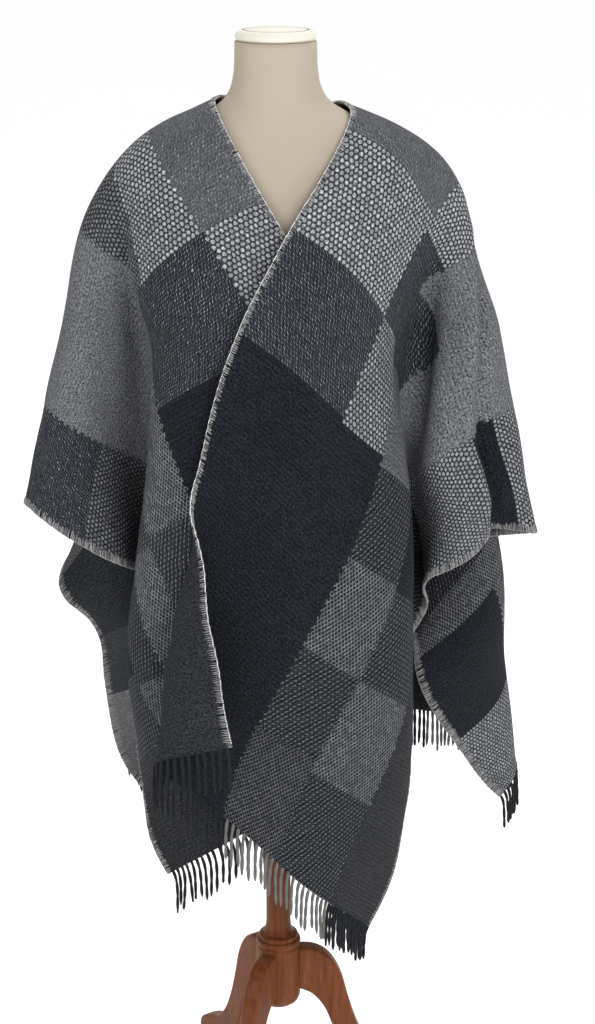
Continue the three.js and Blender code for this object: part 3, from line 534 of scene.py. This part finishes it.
RIGHT_CHART = [
    (0.0, 0.0, {
        -0.88: "light net", -0.72: "dark strokes", -0.56: "charcoal", -0.33: "dark flecks",
        -0.18: "light dots", -0.05: "mid flecks", 0.172: "light dots", 0.333: "charcoal"}),
    (0.086, 0.0, {
        -0.88: "dark strokes", -0.72: "light net", -0.56: "charcoal", -0.33: "dark flecks",
        -0.18: "mid flecks", 0.012: "light dots", 0.178: "dark flecks", 0.333: "charcoal"}),
    # This column's start leans with the fold between the chest and the right sleeve, and its front
    # dots are painted shade beyond that fold.
    (0.132, 0.395, {
        -0.88: "dark strokes", -0.72: "light net", -0.56: "charcoal", -0.33: "dark flecks",
        -0.18: "mid flecks", 0.0: "deep shaded dots", 0.178: "dark flecks", 0.333: "charcoal"}),
    (0.235, 0.0, {
        -0.88: "soft charcoal", -0.6: "plain grey", -0.33: "light dots", -0.18: "mid flecks",
        -0.04: "plain grey", 0.178: "dark flecks", 0.333: "charcoal"}),
    (0.27, 0.0, {
        -0.88: "soft charcoal", -0.6: "plain grey", -0.33: "light dots", -0.18: "mid flecks",
        -0.04: "plain grey", 0.31: "bright net", 0.475: "bright strokes", 0.61: "bright net",
        0.74: "soft charcoal"}),
    (0.363, 0.0, {
        -0.88: "dark flecks", -0.74: "shaded dots", -0.6: "plain grey", -0.33: "dark flecks",
        -0.16: "plain grey", 0.33: "bright strokes", 0.492: "bright net",
        0.636: "bright strokes", 0.755: "soft charcoal"}),
    (0.42, 0.0, {
        -0.88: "dark flecks", -0.74: "shaded dots", -0.6: "plain grey", -0.33: "dark flecks",
        -0.16: "plain grey", 0.33: "light net", 0.48: "dark strokes", 0.655: "light net",
        0.765: "soft charcoal"}),
    (0.477, 0.0, {
        -0.88: "light dots", -0.637: "dark flecks", -0.5: "charcoal", -0.345: "plain grey",
        -0.16: "dark flecks", 0.172: "deep shaded dots", 0.36: "charcoal", 0.64: "dark strokes",
        0.74: "soft charcoal"}),
]

# %% [markdown]
# A block is looked up at the middle of each cell, so it ends on whole dots, as a woven block
# does. The other side of the cloth is plainer.

# %% The weave
# Cells of the textures on the flat cloth, across and along.
DOT_CELL = (0.0068, 0.0062)
FLECK_CELL = (0.0047, 0.0044)
NET_CELL = (0.0056, 0.0088)
FLECK_SLANT = 0.9  # the flecks lean towards the slit on both halves
FLECK_DRIFT = 0.0016  # how far uneven spinning moves a row of flecks
RELIEF = 0.0013
NEUTRAL, BLUEST = (0.975, 1.0, 1.05, 1.0), (0.74, 0.92, 1.38, 1.0)
REVERSE_DARK, REVERSE_LIGHT = (0.90, 0.99, 1.16, 1.0), (0.99, 1.0, 1.04, 1.0)


def chart_number(finish, chart, from_slit, along):
    """The number of the texture at a place of the flat cloth, from one half's chart."""
    number = None
    for column_start, lean, blocks in chart:
        steps = [((start + 1) / 2, (LOOK_NUMBER[look],) * 3) for start, look in blocks.items()]
        ramp = finish.node("ShaderNodeValToRGB", {"steps": steps}, {0: (along + 1) / 2})
        if number is None:
            number = ramp
        else:
            number = number + (ramp - number) * (from_slit - along * lean > column_start)
    return number


def look_value(look, key):
    """One of the numbers of a texture, or for a shape 1 if it has that one."""
    return look[1 + NUMBERS.index(key)] if key in NUMBERS else float(look[0] == key)


def look_values(finish, number, keys):
    """Up to three values of the texture with that number, as signals."""
    steps = [(k / len(LOOKS), tuple(look_value(look, key) for key in (*keys, None, None)[:3]))
             for k, look in enumerate(LOOKS.values())]
    ramp = finish.node("ShaderNodeValToRGB", {"steps": steps}, {0: number})
    return [finish.node("ShaderNodeSeparateColor", {}, {0: ramp}, k) for k in range(len(keys))]


def cells(across, along, size, wander):
    """Staggered cells: the place within a cell, from -0.5 to 0.5, and the middle of the cell."""
    row = along / size[1]
    row_number = row.floor()
    shift = row_number.maths("MODULO", row_number.size(), 2.0) * 0.5
    column = across / size[0] + shift + wander
    column_number = column.floor()
    in_x, in_y = column - column_number - 0.5, row - row_number - 0.5
    return in_x, in_y, (column_number + 0.5 - shift) * size[0], (row_number + 0.5) * size[1]


def spot(in_x, in_y, wide, long, slant, low, high):
    """1 within an oval of the cell, 0 outside it, and how far out a place lies, squared."""
    sx, sy = (in_x + in_y * slant) / wide, in_y / long
    squared = sx * sx + sy * sy
    return squared.maths("SQRT", squared).fade(low, high), squared


def net_lines(across, along, wander):
    """1 on two sets of crossing threads, the lower set a little fainter."""
    slopes = [across / NET_CELL[0] + along / NET_CELL[1] * way + wander * 0.5 for way in (1, -1)]
    threads = [(s - s.floor() - 0.5).size().fade(0.05, 0.22) for s in slopes]
    return threads[0].maths("MAXIMUM", threads[0], threads[1] * 0.85)


def weave(name, reverse):
    finish = Finish(name, Roughness=0.92, Specular_IOR_Level=0.06, Sheen_Weight=0.02,
                    Sheen_Roughness=0.5)
    flat = finish.node("ShaderNodeUVMap", {"uv_map": "flat_cloth"})
    x, y = (finish.node("ShaderNodeSeparateXYZ", {}, {0: flat}, k) for k in (0, 1))
    across, along = (x - 0.5) * UV_SPAN, (y - 0.5) * UV_SPAN
    where = finish.flat_place(across, along)
    wander = (finish.noise(where, 60.0) - 0.5) * 0.9
    speckle = finish.noise(where, 360.0, 3.0)
    patchy = finish.noise(where, 9.0)

    # which block a cell belongs to
    in_x, in_y, middle_across, middle_along = cells(across, along, DOT_CELL, wander)
    on_the_left = middle_across > 0.0
    left = chart_number(finish, LEFT_CHART, middle_across.size(), middle_along)
    right = chart_number(finish, RIGHT_CHART, middle_across.size(), middle_along)
    number = right + (left - right) * on_the_left
    dots, flecks, strokes = look_values(finish, number, ("dots", "flecks", "strokes"))
    net, light, dark = look_values(finish, number, ("net", "light", "dark"))
    other_side, blue = look_values(finish, number, ("reverse", "blue"))
    plain = 1 - dots - flecks - strokes - net

    # how much light yarn shows, in each of the textures
    chance = finish.chance(middle_across, middle_along)
    dot, outward = spot(in_x, in_y, 0.47, 0.54, 0.0, 0.62, 1.04)
    # Each dot is painted lighter in its middle and darker towards its rim, painted shading of a
    # rounded knot; the rest of the factor is the dot's random tone.
    dot = dot * (1.02 - outward * 0.42 + chance * 0.30 + (speckle - 0.5) * 1.5)
    stroke = spot(in_x, in_y, 0.20, 0.46, 0.55, 0.35, 1.05)[0]
    uneven = (finish.noise(where, 150.0, 1.0) - 0.5) * 1.5
    fine_x, fine_y, fine_across, fine_along = cells(across, along + uneven * FLECK_DRIFT,
                                                    FLECK_CELL, wander + uneven)
    slant = FLECK_SLANT - on_the_left * (2 * FLECK_SLANT)
    fleck = spot(fine_x, fine_y, 0.20, 0.50, slant, 0.30, 1.10)[0]
    fleck = fleck * (0.25 + finish.chance(fine_across, fine_along) * 0.95)
    lines = net_lines(across, along, wander)
    rib = 1 - (in_y.size() - 0.5).size().fade(0.0, 0.16) * 0.5

    if reverse:
        raised = rib * 0.5 + fleck * 0.5
        tone = other_side * (0.55 + raised * 0.8)
    else:
        raised = (dot * dots + fleck * flecks + (stroke + lines * 0.18) * strokes
                  + lines * net * (0.6 + chance * 0.4) + rib * plain)
        tone = dark + (light - dark) * raised
    tone = tone * (0.82 + chance * 0.24) * (0.86 + patchy * 0.28)
    tone = tone * (1 + (speckle - 0.5) * (2.4 + plain * 2.0))
    if reverse:
        tint = finish.mix(tone * 7.0, REVERSE_DARK, REVERSE_LIGHT)
    else:
        tint = finish.mix(blue, NEUTRAL, BLUEST)
    settings = {"data_type": "RGBA", "blend_type": "MULTIPLY"}
    inputs = {0: 1.0, 6: finish.colour(tone, tone, tone), 7: tint}
    finish.feed("Base Color", finish.node("ShaderNodeMix", settings, inputs, 2))
    fibre = finish.noise(where, 1100.0)
    finish.bump(raised + fibre * 0.35 + speckle * 0.6, RELIEF)
    return finish.material


cloth_face = weave("wool_face", False)
cloth_back = weave("wool_reverse", True)
print("nodes in the weave:", len(cloth_face.node_tree.nodes))

# %% [markdown]
# The hung sheet has no thickness yet. A Solidify modifier grows it to both sides of the middle,
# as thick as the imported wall, and gives its inner face the finish of the reverse.

# %% The cloth
cloth = add_piece("poncho_cloth", cloth_mesh, cloth_face, cloth_back)
thick = cloth.modifiers.new("thickness", "SOLIDIFY")
thick.thickness = WALL
thick.offset = 0.0
thick.material_offset = 1
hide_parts("woven_panel")
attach(cloth, "root")

# %% [markdown]
# Stitches and fringe are yarn. Each yarn is a curve with a round section, and the curves of one
# fringe, or of all the stitches, are turned into one mesh. Many short splines in one curve cost
# little, and every yarn keeps its own path.

# %% Yarn finish and yarn meshes
def yarn_finish(name, tone, tint):
    finish = Finish(name, Roughness=0.9, Specular_IOR_Level=0.08, Sheen_Weight=0.03)
    here = finish.here()
    fibre = finish.noise(here, 1600.0, 3.0)
    value = tone * (0.55 + fibre * 0.5 + finish.noise(here, 160.0) * 0.4)
    finish.feed("Base Color", finish.colour(*(value * part for part in tint)))
    finish.bump(fibre, 0.0004)
    return finish.material


bright_yarn = yarn_finish("yarn_bright", 0.85, (1.0, 1.0, 1.0))
light_yarn = yarn_finish("yarn_light", 0.36, (1.0, 1.0, 1.0))
fringe_grey = yarn_finish("yarn_fringe_grey", 0.150, (1.03, 1.0, 0.96))
grey_yarn = yarn_finish("yarn_grey", 0.19, (1.0, 1.0, 1.01))
dark_yarn = yarn_finish("yarn_dark", 0.020, (0.90, 0.98, 1.15))


def yarn_mesh(name, paths, radius, sides, materials):
    """paths are (points, radii, material number). sides is 4 or 6."""
    curve = bpy.data.curves.new(name, "CURVE")
    for material in materials:
        curve.materials.append(material)
    curve.dimensions = "3D"
    curve.bevel_depth = radius
    curve.bevel_resolution = (sides - 4) // 2
    curve.use_fill_caps = True
    for points, radii, material in paths:
        spline = curve.splines.new("POLY")
        spline.points.add(len(points) - 1)
        flat = np.ones((len(points), 4))
        flat[:, :3] = points
        spline.points.foreach_set("co", flat.ravel())
        spline.points.foreach_set("radius", radii)
        spline.material_index = material
        spline.use_smooth = True
    holder = bpy.data.objects.new(name + "_curve", curve)
    bpy.context.scene.collection.objects.link(holder)
    ready = holder.evaluated_get(bpy.context.evaluated_depsgraph_get())
    mesh = bpy.data.meshes.new_from_object(ready)
    bpy.data.objects.remove(holder)
    mesh.name = name
    return mesh


# %% [markdown]
# The blanket stitch wraps the edge: each stitch lies across the face, turns round the edge and
# lies across the reverse, and one more yarn runs along the edge itself. On the side edges the
# stitches are long and close. On the slit they are shorter, shortest at the neck, and a bright
# yarn runs along them.

# %% Blanket stitch
STITCH_RADIUS = 0.00070
EDGE_RADIUS = 0.00075
EDGE_YARNS = (light_yarn, grey_yarn, dark_yarn, bright_yarn)
# reach is how far a stitch goes in, at the top and low down. shares are those of light, grey and
# dark stitches, there too. edge is the number of the yarn that runs along the edge.
SIDE_EDGE = {"pitch": 0.0020, "reach": (0.0105, 0.0105), "edge": 0,
             "shares": ((0.52, 0.44, 0.04), (0.52, 0.44, 0.04))}
SLIT_EDGE = {"pitch": 0.0025, "reach": (0.0058, 0.0084), "edge": 3,
             "shares": ((0.42, 0.52, 0.06), (0.58, 0.34, 0.08))}
LOW_SHARES = 0.28  # metres down the front from which the second shares hold
LOW_REACH = (0.50, 0.62)  # between these the reach goes from the first to the second
dice = random.Random(7)


def edge_places(half, spots, inward):
    """Places along an edge of the cloth: point, way out of the cloth, normal, and metres across
    and along. spots are fine columns and rows, and inward is the step into the cloth."""
    found = []
    for col, row in spots:
        point, normal = fine[half, col, row], normals[half, col, row]
        out = point - fine[half, col + inward[0], row + inward[1]]
        out = out - normal * np.dot(out, normal)
        found.append((point, out / np.linalg.norm(out), normal, col_at[col], row_at[row]))
    return found


def stitches(places, edge):
    """Paths of the stitches and of the yarn along the edge."""
    paths, along_edge = [], []
    run = edge["pitch"] / 2
    lift = WALL / 2 + STITCH_RADIUS * 0.6
    for (p0, o0, n0, _, down), (p1, o1, n1, _, _) in zip(places, places[1:]):
        length = np.linalg.norm(p1 - p0)
        tangent = (p1 - p0) / length
        shares = edge["shares"][int(down >= LOW_SHARES)]
        low = min(max((down - LOW_REACH[0]) / (LOW_REACH[1] - LOW_REACH[0]), 0), 1)
        reach = edge["reach"][0] + (edge["reach"][1] - edge["reach"][0]) * low
        while run < length:
            t = run / length
            p, o, n = p0 + (p1 - p0) * t, o0 + (o1 - o0) * t, n0 + (n1 - n0) * t
            far = o * (reach * dice.uniform(0.72, 1.18))
            lean = tangent * dice.uniform(-0.0012, 0.0012)
            proud = dice.uniform(0.0005, 0.0021)
            points = [p - far + n * (lift * 0.45) + lean, p - far * 0.55 + n * lift + lean * 0.5,
                      p + n * lift * 0.9, p + o * proud, p - n * lift * 0.9,
                      p - far - n * (lift * 0.5) + lean]
            yarn = dice.choices((0, 1, 2), shares)[0]
            paths.append((points, [0.55, 1, 1, 1, 1, 0.6], yarn))
            run += edge["pitch"] * dice.uniform(0.75, 1.25)
        run -= length
        for part in (0.0, 0.5):
            turn = (len(along_edge) * 1.9) % (2 * math.pi)
            wave = o0 * (0.0010 + 0.0003 * math.sin(turn)) + n0 * 0.0004 * math.cos(turn)
            along_edge.append(p0 + (p1 - p0) * part + wave)
    paths.append((along_edge, [EDGE_RADIUS / STITCH_RADIUS] * len(along_edge), edge["edge"]))
    return paths


edging = []
for half in (LEFT, RIGHT):
    side_spots = [(LAST_COL, row) for row in range(LAST_ROW + 1)]
    slit_spots = [(0, row) for row in range(SHUT + 1, LAST_ROW + 1)]
    edging += stitches(edge_places(half, side_spots, (-1, 0)), SIDE_EDGE)
    edging += stitches(edge_places(half, slit_spots, (1, 0)), SLIT_EDGE)
edging_mesh = yarn_mesh("edge_stitching", edging, STITCH_RADIUS, 4, EDGE_YARNS)
edging_piece = add_piece("edge_stitching", edging_mesh)
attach(edging_piece, "root")
print("stitches:", len(edging), "triangles:", triangles(edging_mesh))

# %% [markdown]
# The fringe is the warp itself, twisted in pairs. A strand leaves the hem in the plane of the
# cloth and then hangs, and its two plies wind round each other. Its yarn is grey or dark, as the
# warp is in the column of blocks above it.

# %% Fringe
STRAND_PITCH = 0.0098
STRAND_LENGTH = 0.061
PLY_RADIUS = 0.00172
PLY_APART = PLY_RADIUS * 0.37
TWIST = 0.040  # metres of strand for one turn of the plies
STRAND_STEPS = 15
# From and to which distance from the slit the strands of a hem are dark.
LEFT_DARK = ((-1, 0.253), (0.467, 1))
RIGHT_DARK = ((-1, 0.27), (0.50, 1))
BACK_DARK = ((0.13, 0.26), (0.42, 1))


def strand(root, out, along_hem, length):
    """The two plies of one strand, from the hem down."""
    lean = np.array([dice.gauss(0, 0.032), dice.gauss(0, 0.03), -1.0])
    heading, at, line = out, root - out * 0.002, []
    step = length / (STRAND_STEPS - 1)
    for k in range(STRAND_STEPS):
        line.append(at)
        share = k / (STRAND_STEPS - 1)
        heading = heading + (lean - heading) * min(0.12 + share, 0.35)
        heading = heading / np.linalg.norm(heading)
        at = at + heading * step
    phase = dice.uniform(0, 6.28)
    plies = []
    for ply in (0, 1):
        points = []
        for k, p in enumerate(line):
            ahead = line[min(k + 1, STRAND_STEPS - 1)] - line[max(k - 1, 0)]
            ahead = ahead / np.linalg.norm(ahead)
            side = along_hem - ahead * np.dot(along_hem, ahead)
            side = side / np.linalg.norm(side)
            angle = phase + ply * math.pi + k * step / TWIST * 2 * math.pi
            way = side * math.cos(angle) + np.cross(ahead, side) * math.sin(angle)
            points.append(p + way * PLY_APART)
        radii = [1.0] * STRAND_STEPS
        radii[0], radii[-2], radii[-1] = 0.8, 0.92, 0.45
        plies.append((points, radii))
    return plies


def fringe(places, dark_runs):
    """Paths of all plies along a hem. Yarn 0 is the grey one, 1 the dark one."""
    paths, run = [], STRAND_PITCH / 2
    for (p0, o0, _, s0, _), (p1, o1, _, s1, _) in zip(places, places[1:]):
        length = np.linalg.norm(p1 - p0)
        while run < length:
            t = run / length
            from_slit = s0 + (s1 - s0) * t
            yarn = int(any(low < from_slit < high for low, high in dark_runs))
            length_here = STRAND_LENGTH * dice.uniform(0.86, 1.04)
            plies = strand(p0 + (p1 - p0) * t, o0 + (o1 - o0) * t, (p1 - p0) / length, length_here)
            paths += [(points, radii, yarn) for points, radii in plies]
            run += STRAND_PITCH * dice.uniform(0.85, 1.15)
        run -= length
    return paths


def add_fringe(name, places, dark_runs, node):
    mesh = yarn_mesh(name, fringe(places, dark_runs), PLY_RADIUS, 6, (fringe_grey, dark_yarn))
    piece = add_piece(name, mesh)
    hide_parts(node)
    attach(piece, "root")
    print(name, "triangles:", triangles(mesh))
    return piece


front_hem = [(col, LAST_ROW) for col in range(LAST_COL + 1)]
back_hem = [(col, 0) for col in range(LAST_COL + 1)]
fringe_left = add_fringe("yarn_fringe_front_left", edge_places(LEFT, front_hem, (0, -1)),
                         LEFT_DARK, "fringe_front_left")
fringe_right = add_fringe("yarn_fringe_front_right", edge_places(RIGHT, front_hem, (0, -1)),
                          RIGHT_DARK, "fringe_front_right")
back_places = edge_places(RIGHT, back_hem[:0:-1], (0, 1)) + edge_places(LEFT, back_hem, (0, 1))
fringe_back = add_fringe("yarn_fringe_back", back_places, BACK_DARK, "fringe_back")

# %% [markdown]
# The covers of the form and of its cap are smooth cloth, a little stained, with fine threads. The
# cap's cover is painted far paler than the neck's: painted light, for the light that falls on
# the top of the neck.

# %% Cover finish
def cover_finish(name, colour):
    finish = Finish(name, Roughness=0.8, Specular_IOR_Level=0.3, Sheen_Weight=0.15)
    here = finish.here()
    threads = finish.noise(finish.spread(here, 1.0, 1.0, 2.2), 1100.0)
    stain = finish.noise(here, 14.0, 3.0)
    deeper = tuple(c * 0.84 for c in colour)
    shade = finish.mix(stain * 0.6 + threads * 0.4, (*deeper, 1.0), (*colour, 1.0))
    finish.feed("Base Color", shade)
    finish.feed("Roughness", 0.72 + threads * 0.2)
    finish.bump(threads, 0.0003)
    return finish.material


cream_cover = cover_finish("cream_cover", (0.51, 0.435, 0.345))
# the cap's pale tone is painted light falling on the top of the neck
painted_light_cap_cover = cover_finish("cap_cover_painted_light", (0.86, 0.83, 0.72))
seam_thread = cover_finish("cap_seam", (0.20, 0.19, 0.18))

# %% [markdown]
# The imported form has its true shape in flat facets. A copy of it, merged into four-sided faces,
# is smoothed by a Subdivision Surface, with its top and bottom rims creased so that they stay
# where they are.

# %% Dress form
def smooth_form():
    bm = bmesh.new()
    bm.from_mesh(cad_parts["dress_form"].data)
    bmesh.ops.remove_doubles(bm, verts=bm.verts, dist=MERGE / 2)
    level = sorted({round(v.co.z, 4) for v in bm.verts})
    rims = [f for f in bm.faces
            if max(v.co.z for v in f.verts) - min(v.co.z for v in f.verts) < NEARLY]
    bmesh.ops.dissolve_faces(bm, faces=rims, use_verts=False)
    bmesh.ops.join_triangles(bm, faces=[f for f in bm.faces if len(f.verts) == 3],
                             angle_face_threshold=1.2, angle_shape_threshold=1.2)
    crease = bm.edges.layers.float.new("crease_edge")
    for edge in bm.edges:
        if all(round(v.co.z, 4) in (level[0], level[-1]) for v in edge.verts):
            edge[crease] = 0.9
    for face in bm.faces:
        face.smooth = True
    return finished(bm, "form_body")


form = add_piece("form_body", smooth_form(), cream_cover)
soften = form.modifiers.new("smooth", "SUBSURF")
soften.levels = soften.render_levels = 2
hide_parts("dress_form")
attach(form, "root")
print("form faces:", len(form.data.polygons))


# %% [markdown]
# Turned pieces are spun from half a profile: a few vertices, joined by edges, go once round the
# axis, and the seam is merged. The cap on the neck, the column and its hub are made so.

# %% Turned pieces
def middle_of(node):
    low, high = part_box(node)
    return Vector(((low.x + high.x) / 2, (low.y + high.y) / 2, 0))


AXIS = middle_of("stand_column")
NECK = middle_of("neck_cap")


def turned(name, profile, centre, segments):
    """profile is a list of radius and height, from the bottom up."""
    bm = bmesh.new()
    line = [bm.verts.new((centre.x + radius, centre.y, z)) for radius, z in profile]
    for a, b in zip(line, line[1:]):
        bm.edges.new((a, b))
    bmesh.ops.spin(bm, geom=bm.verts[:] + bm.edges[:], cent=centre, axis=(0, 0, 1),
                   angle=2 * math.pi, steps=segments, use_merge=True)
    bmesh.ops.remove_doubles(bm, verts=bm.verts, dist=1e-6)
    bmesh.ops.recalc_face_normals(bm, faces=bm.faces)
    for face in bm.faces:
        face.smooth = True
    return finished(bm, name)


def rounded(points, steps=4):
    """A smooth run through (radius, z) points."""
    p = np.array(points, float)
    p = np.concatenate([[2 * p[0] - p[1]], p, [2 * p[-1] - p[-2]]])
    run = [tuple(between(*p[k:k + 4], step / steps))
           for k in range(len(points) - 1) for step in range(steps)]
    return run + [tuple(p[-2])]


CAP_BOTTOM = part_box("neck_cap")[0].z
CAP_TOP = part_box("neck_cap")[1].z
CAP_SEAM = (0.0378, 0.0406)  # from and to which radius the seam round the top goes
cap_profile = [(0.0, CAP_BOTTOM)] + rounded([
    (0.0465, CAP_BOTTOM), (0.0487, CAP_BOTTOM + 0.0028), (0.0482, CAP_BOTTOM + 0.0075),
    (0.0450, CAP_TOP - 0.0016), (0.0405, CAP_TOP - 0.0004)]) + [
    (0.0396, CAP_TOP - 0.0012), (0.0388, CAP_TOP - 0.0012), (0.0379, CAP_TOP - 0.0003),
    (0.0, CAP_TOP)]
cap = add_piece("cap_cover", turned("cap_cover", cap_profile, NECK, 64), painted_light_cap_cover, seam_thread)
for face in cap.data.polygons:
    reach = (face.center - NECK).xy.length
    if face.center.z > CAP_TOP - 0.002 and CAP_SEAM[0] < reach < CAP_SEAM[1]:
        face.material_index = 1
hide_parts("neck_cap")
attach(cap, "root")

# %% [markdown]
# The wood is orange brown with a clear satin lacquer. Its grain runs upright, so the noise is
# stretched that way. The lacquer is a thin coat.

# %% Wood finish
GRAIN_STRETCH = (9.0, 9.0, 1.0)
PORE_STRETCH = tuple(part * 1.6 for part in GRAIN_STRETCH)
WOOD_TONES = [(0.30, (0.105, 0.027, 0.008)), (0.46, (0.150, 0.043, 0.013)),
              (0.56, (0.178, 0.054, 0.017)), (0.72, (0.230, 0.078, 0.026))]
PORE_TONE = (0.050, 0.014, 0.007, 1.0)


def wood_finish(name):
    finish = Finish(name, Specular_IOR_Level=0.10, Coat_Weight=0.10, Coat_Roughness=0.20)
    here = finish.here()
    along_grain = finish.spread(here, *GRAIN_STRETCH)
    broad = finish.noise(along_grain, 3.2, 3.0)
    grain = finish.noise(along_grain, 17.0, 5.0)
    pores = finish.noise(finish.spread(here, *PORE_STRETCH), 46.0)
    lines = grain * 0.62 + broad * 0.38
    colour = finish.node("ShaderNodeValToRGB", {"stops": WOOD_TONES}, {0: lines})
    dark_pores = pores.fade(0.30, 0.42)
    finish.feed("Base Color", finish.mix(dark_pores * 0.45, colour, PORE_TONE))
    finish.feed("Roughness", 0.40 + grain * 0.18)
    finish.bump(grain * 0.4 - dark_pores * 0.6, 0.0003)
    return finish.material


upright_wood = wood_finish("wood_upright")

# %% [markdown]
# The hub, the ringed collar, the column and the plate under the form are turned in one.

# %% Column
HUB, SHAFT = 0.030, 0.0165
FORM_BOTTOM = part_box("stand_column")[1].z
hub = [(0.0, 0.150), (0.0130, 0.1502), (0.0215, 0.1525), (0.0270, 0.1570), (HUB - 0.0004, 0.1640),
       (HUB, 0.1700), (HUB, 0.2350)]
collar = rounded([(HUB, 0.2350), (0.0293, 0.2392), (0.0282, 0.2412), (0.0299, 0.2442),
                  (0.0300, 0.2482), (0.0282, 0.2508), (0.0262, 0.2514), (0.0268, 0.2545),
                  (0.0255, 0.2572), (0.0212, 0.2596), (0.0186, 0.2640), (0.0172, 0.2700),
                  (SHAFT, 0.2780)], 3)
plate = [(SHAFT, 0.7360), (0.0185, 0.7395), (0.0335, 0.7412), (0.034, 0.7430),
         (0.034, FORM_BOTTOM), (0.0, FORM_BOTTOM)]
column_mesh = turned("column_and_hub", hub[:-1] + collar + plate, AXIS, 72)
column = add_piece("column_and_hub", column_mesh, upright_wood)
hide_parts("stand_column")
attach(column, "root")
print("column faces:", len(column.data.polygons))

# %% [markdown]
# A leg is sawn from a board. Its side view is drawn as a smooth outline, filled, extruded to the
# thickness of the board, and the sawn edges are rounded with a bevel. It is cut hollow where it
# meets the hub.

# %% Legs
LEG_THICKNESS = 0.024
LEG_TOP_LINE = [(0.020, 0.236), (0.048, 0.234), (0.070, 0.220), (0.086, 0.192), (0.096, 0.155),
                (0.108, 0.116), (0.124, 0.082), (0.146, 0.058), (0.172, 0.046), (0.190, 0.034),
                (0.192, 0.018), (0.180, 0.0)]
LEG_UNDER_LINE = [(0.156, 0.0), (0.132, 0.014), (0.106, 0.042), (0.086, 0.078), (0.074, 0.114),
                  (0.062, 0.144), (0.044, 0.166), (0.020, 0.176)]
LEGS = {"stand_leg_right": 4, "stand_leg_back": 124, "stand_leg_front": 244}


def leg_mesh(name, azimuth):
    bm = bmesh.new()
    outline = rounded(LEG_TOP_LINE) + rounded(LEG_UNDER_LINE)
    ring = [bm.verts.new((radius, -LEG_THICKNESS / 2, max(z, 0.0))) for radius, z in outline]
    board = bm.faces.new(ring)
    made = bmesh.ops.extrude_face_region(bm, geom=[board])["geom"]
    corners = [part for part in made if isinstance(part, bmesh.types.BMVert)]
    bmesh.ops.translate(bm, vec=(0, LEG_THICKNESS, 0), verts=corners)
    bmesh.ops.recalc_face_normals(bm, faces=bm.faces)
    sawn = [e for e in bm.edges if e.calc_face_angle(0) > math.radians(60)
            and abs(e.verts[0].co.y - e.verts[1].co.y) < MERGE]
    bmesh.ops.bevel(bm, geom=sawn, offset=0.0042, offset_type="OFFSET", affect="EDGES", segments=4,
                    profile=0.5, material=-1)
    for v in bm.verts:  # hollowed to the hub
        reach = math.sqrt(max((HUB + 0.0003) ** 2 - v.co.y ** 2, 0))
        v.co.x = max(v.co.x, reach)
    for face in bm.faces:
        face.smooth = len(face.verts) == 4
    bmesh.ops.rotate(bm, cent=(0, 0, 0), matrix=Matrix.Rotation(math.radians(azimuth), 3, "Z"),
                     verts=bm.verts)
    bmesh.ops.translate(bm, vec=AXIS, verts=bm.verts)
    return finished(bm, name)


for node, azimuth in LEGS.items():
    leg = add_piece(node.replace("stand_", "wooden_"), leg_mesh(node, azimuth), upright_wood)
    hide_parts(node)
    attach(leg, "root")
print("legs:", len(LEGS))

# %% [markdown]

# %% [markdown]
# A plain pale floor and soft studio light: a wide light from the front right of the picture, a
# fainter one from the left, and one from above and behind to part the dark wool from the ground.
# The camera stands 2.6 m in front of the column at 1.7 m height, a little to the right, and looks
# down.

# %% Floor, light and camera
WHITE = (1, 1, 1, 1)
FLOOR_GLOW, SKY_STRENGTH = 0.52, 0.50
CAMERA_HEIGHT, CAMERA_AWAY, CAMERA_ASIDE = 1.7, 2.6, 0.026
LOOKS_DOWN = 17.9  # degrees


def studio_floor():
    bm = bmesh.new()
    bmesh.ops.create_circle(bm, cap_ends=True, radius=40.0, segments=64)
    mesh = finished(bm, "studio_floor")
    finish = Finish("pale_floor", Roughness=0.9, Specular_IOR_Level=0.1,
                    Emission_Color=WHITE, Emission_Strength=FLOOR_GLOW)
    tone = 0.93 + finish.noise(finish.here(), 0.6) * 0.02
    finish.feed("Base Color", finish.colour(tone, tone, tone))
    return add_piece("studio_floor", mesh, finish.material)


studio_floor()

LIGHTS = [
    {"name": "key", "place": (1.5, -2.7, 3.0), "size": 1.6, "power": 62},
    {"name": "fill", "place": (-2.4, -2.4, 2.2), "size": 2.0, "power": 20},
    {"name": "above", "place": (0.2, 1.4, 3.4), "size": 2.0, "power": 40},
]
CLOTH_MIDDLE = Vector((0, 0, 0.9))
for row in LIGHTS:
    lamp = bpy.data.lights.new(row["name"], "AREA")
    lamp.size, lamp.energy = row["size"], row["power"]
    holder = bpy.data.objects.new(row["name"], lamp)
    holder.location = row["place"]
    holder.rotation_euler = (CLOTH_MIDDLE - holder.location).to_track_quat("-Z", "Y").to_euler()
    bpy.context.scene.collection.objects.link(holder)

world = bpy.data.worlds.new("studio")
world.use_nodes = True
sky = world.node_tree.nodes["Background"].inputs
sky["Color"].default_value, sky["Strength"].default_value = WHITE, SKY_STRENGTH
bpy.context.scene.world = world

camera = bpy.data.objects.new("camera", bpy.data.cameras.new("camera"))
camera.location = (AXIS.x + CAMERA_ASIDE, AXIS.y - CAMERA_AWAY, CAMERA_HEIGHT)
camera.rotation_euler = (math.radians(90 - LOOKS_DOWN), 0, 0)
camera.data.sensor_width, camera.data.lens = 36.0, 75.0  # millimetres
bpy.context.scene.collection.objects.link(camera)
bpy.context.scene.camera = camera
bpy.context.scene.view_settings.view_transform = "Standard"
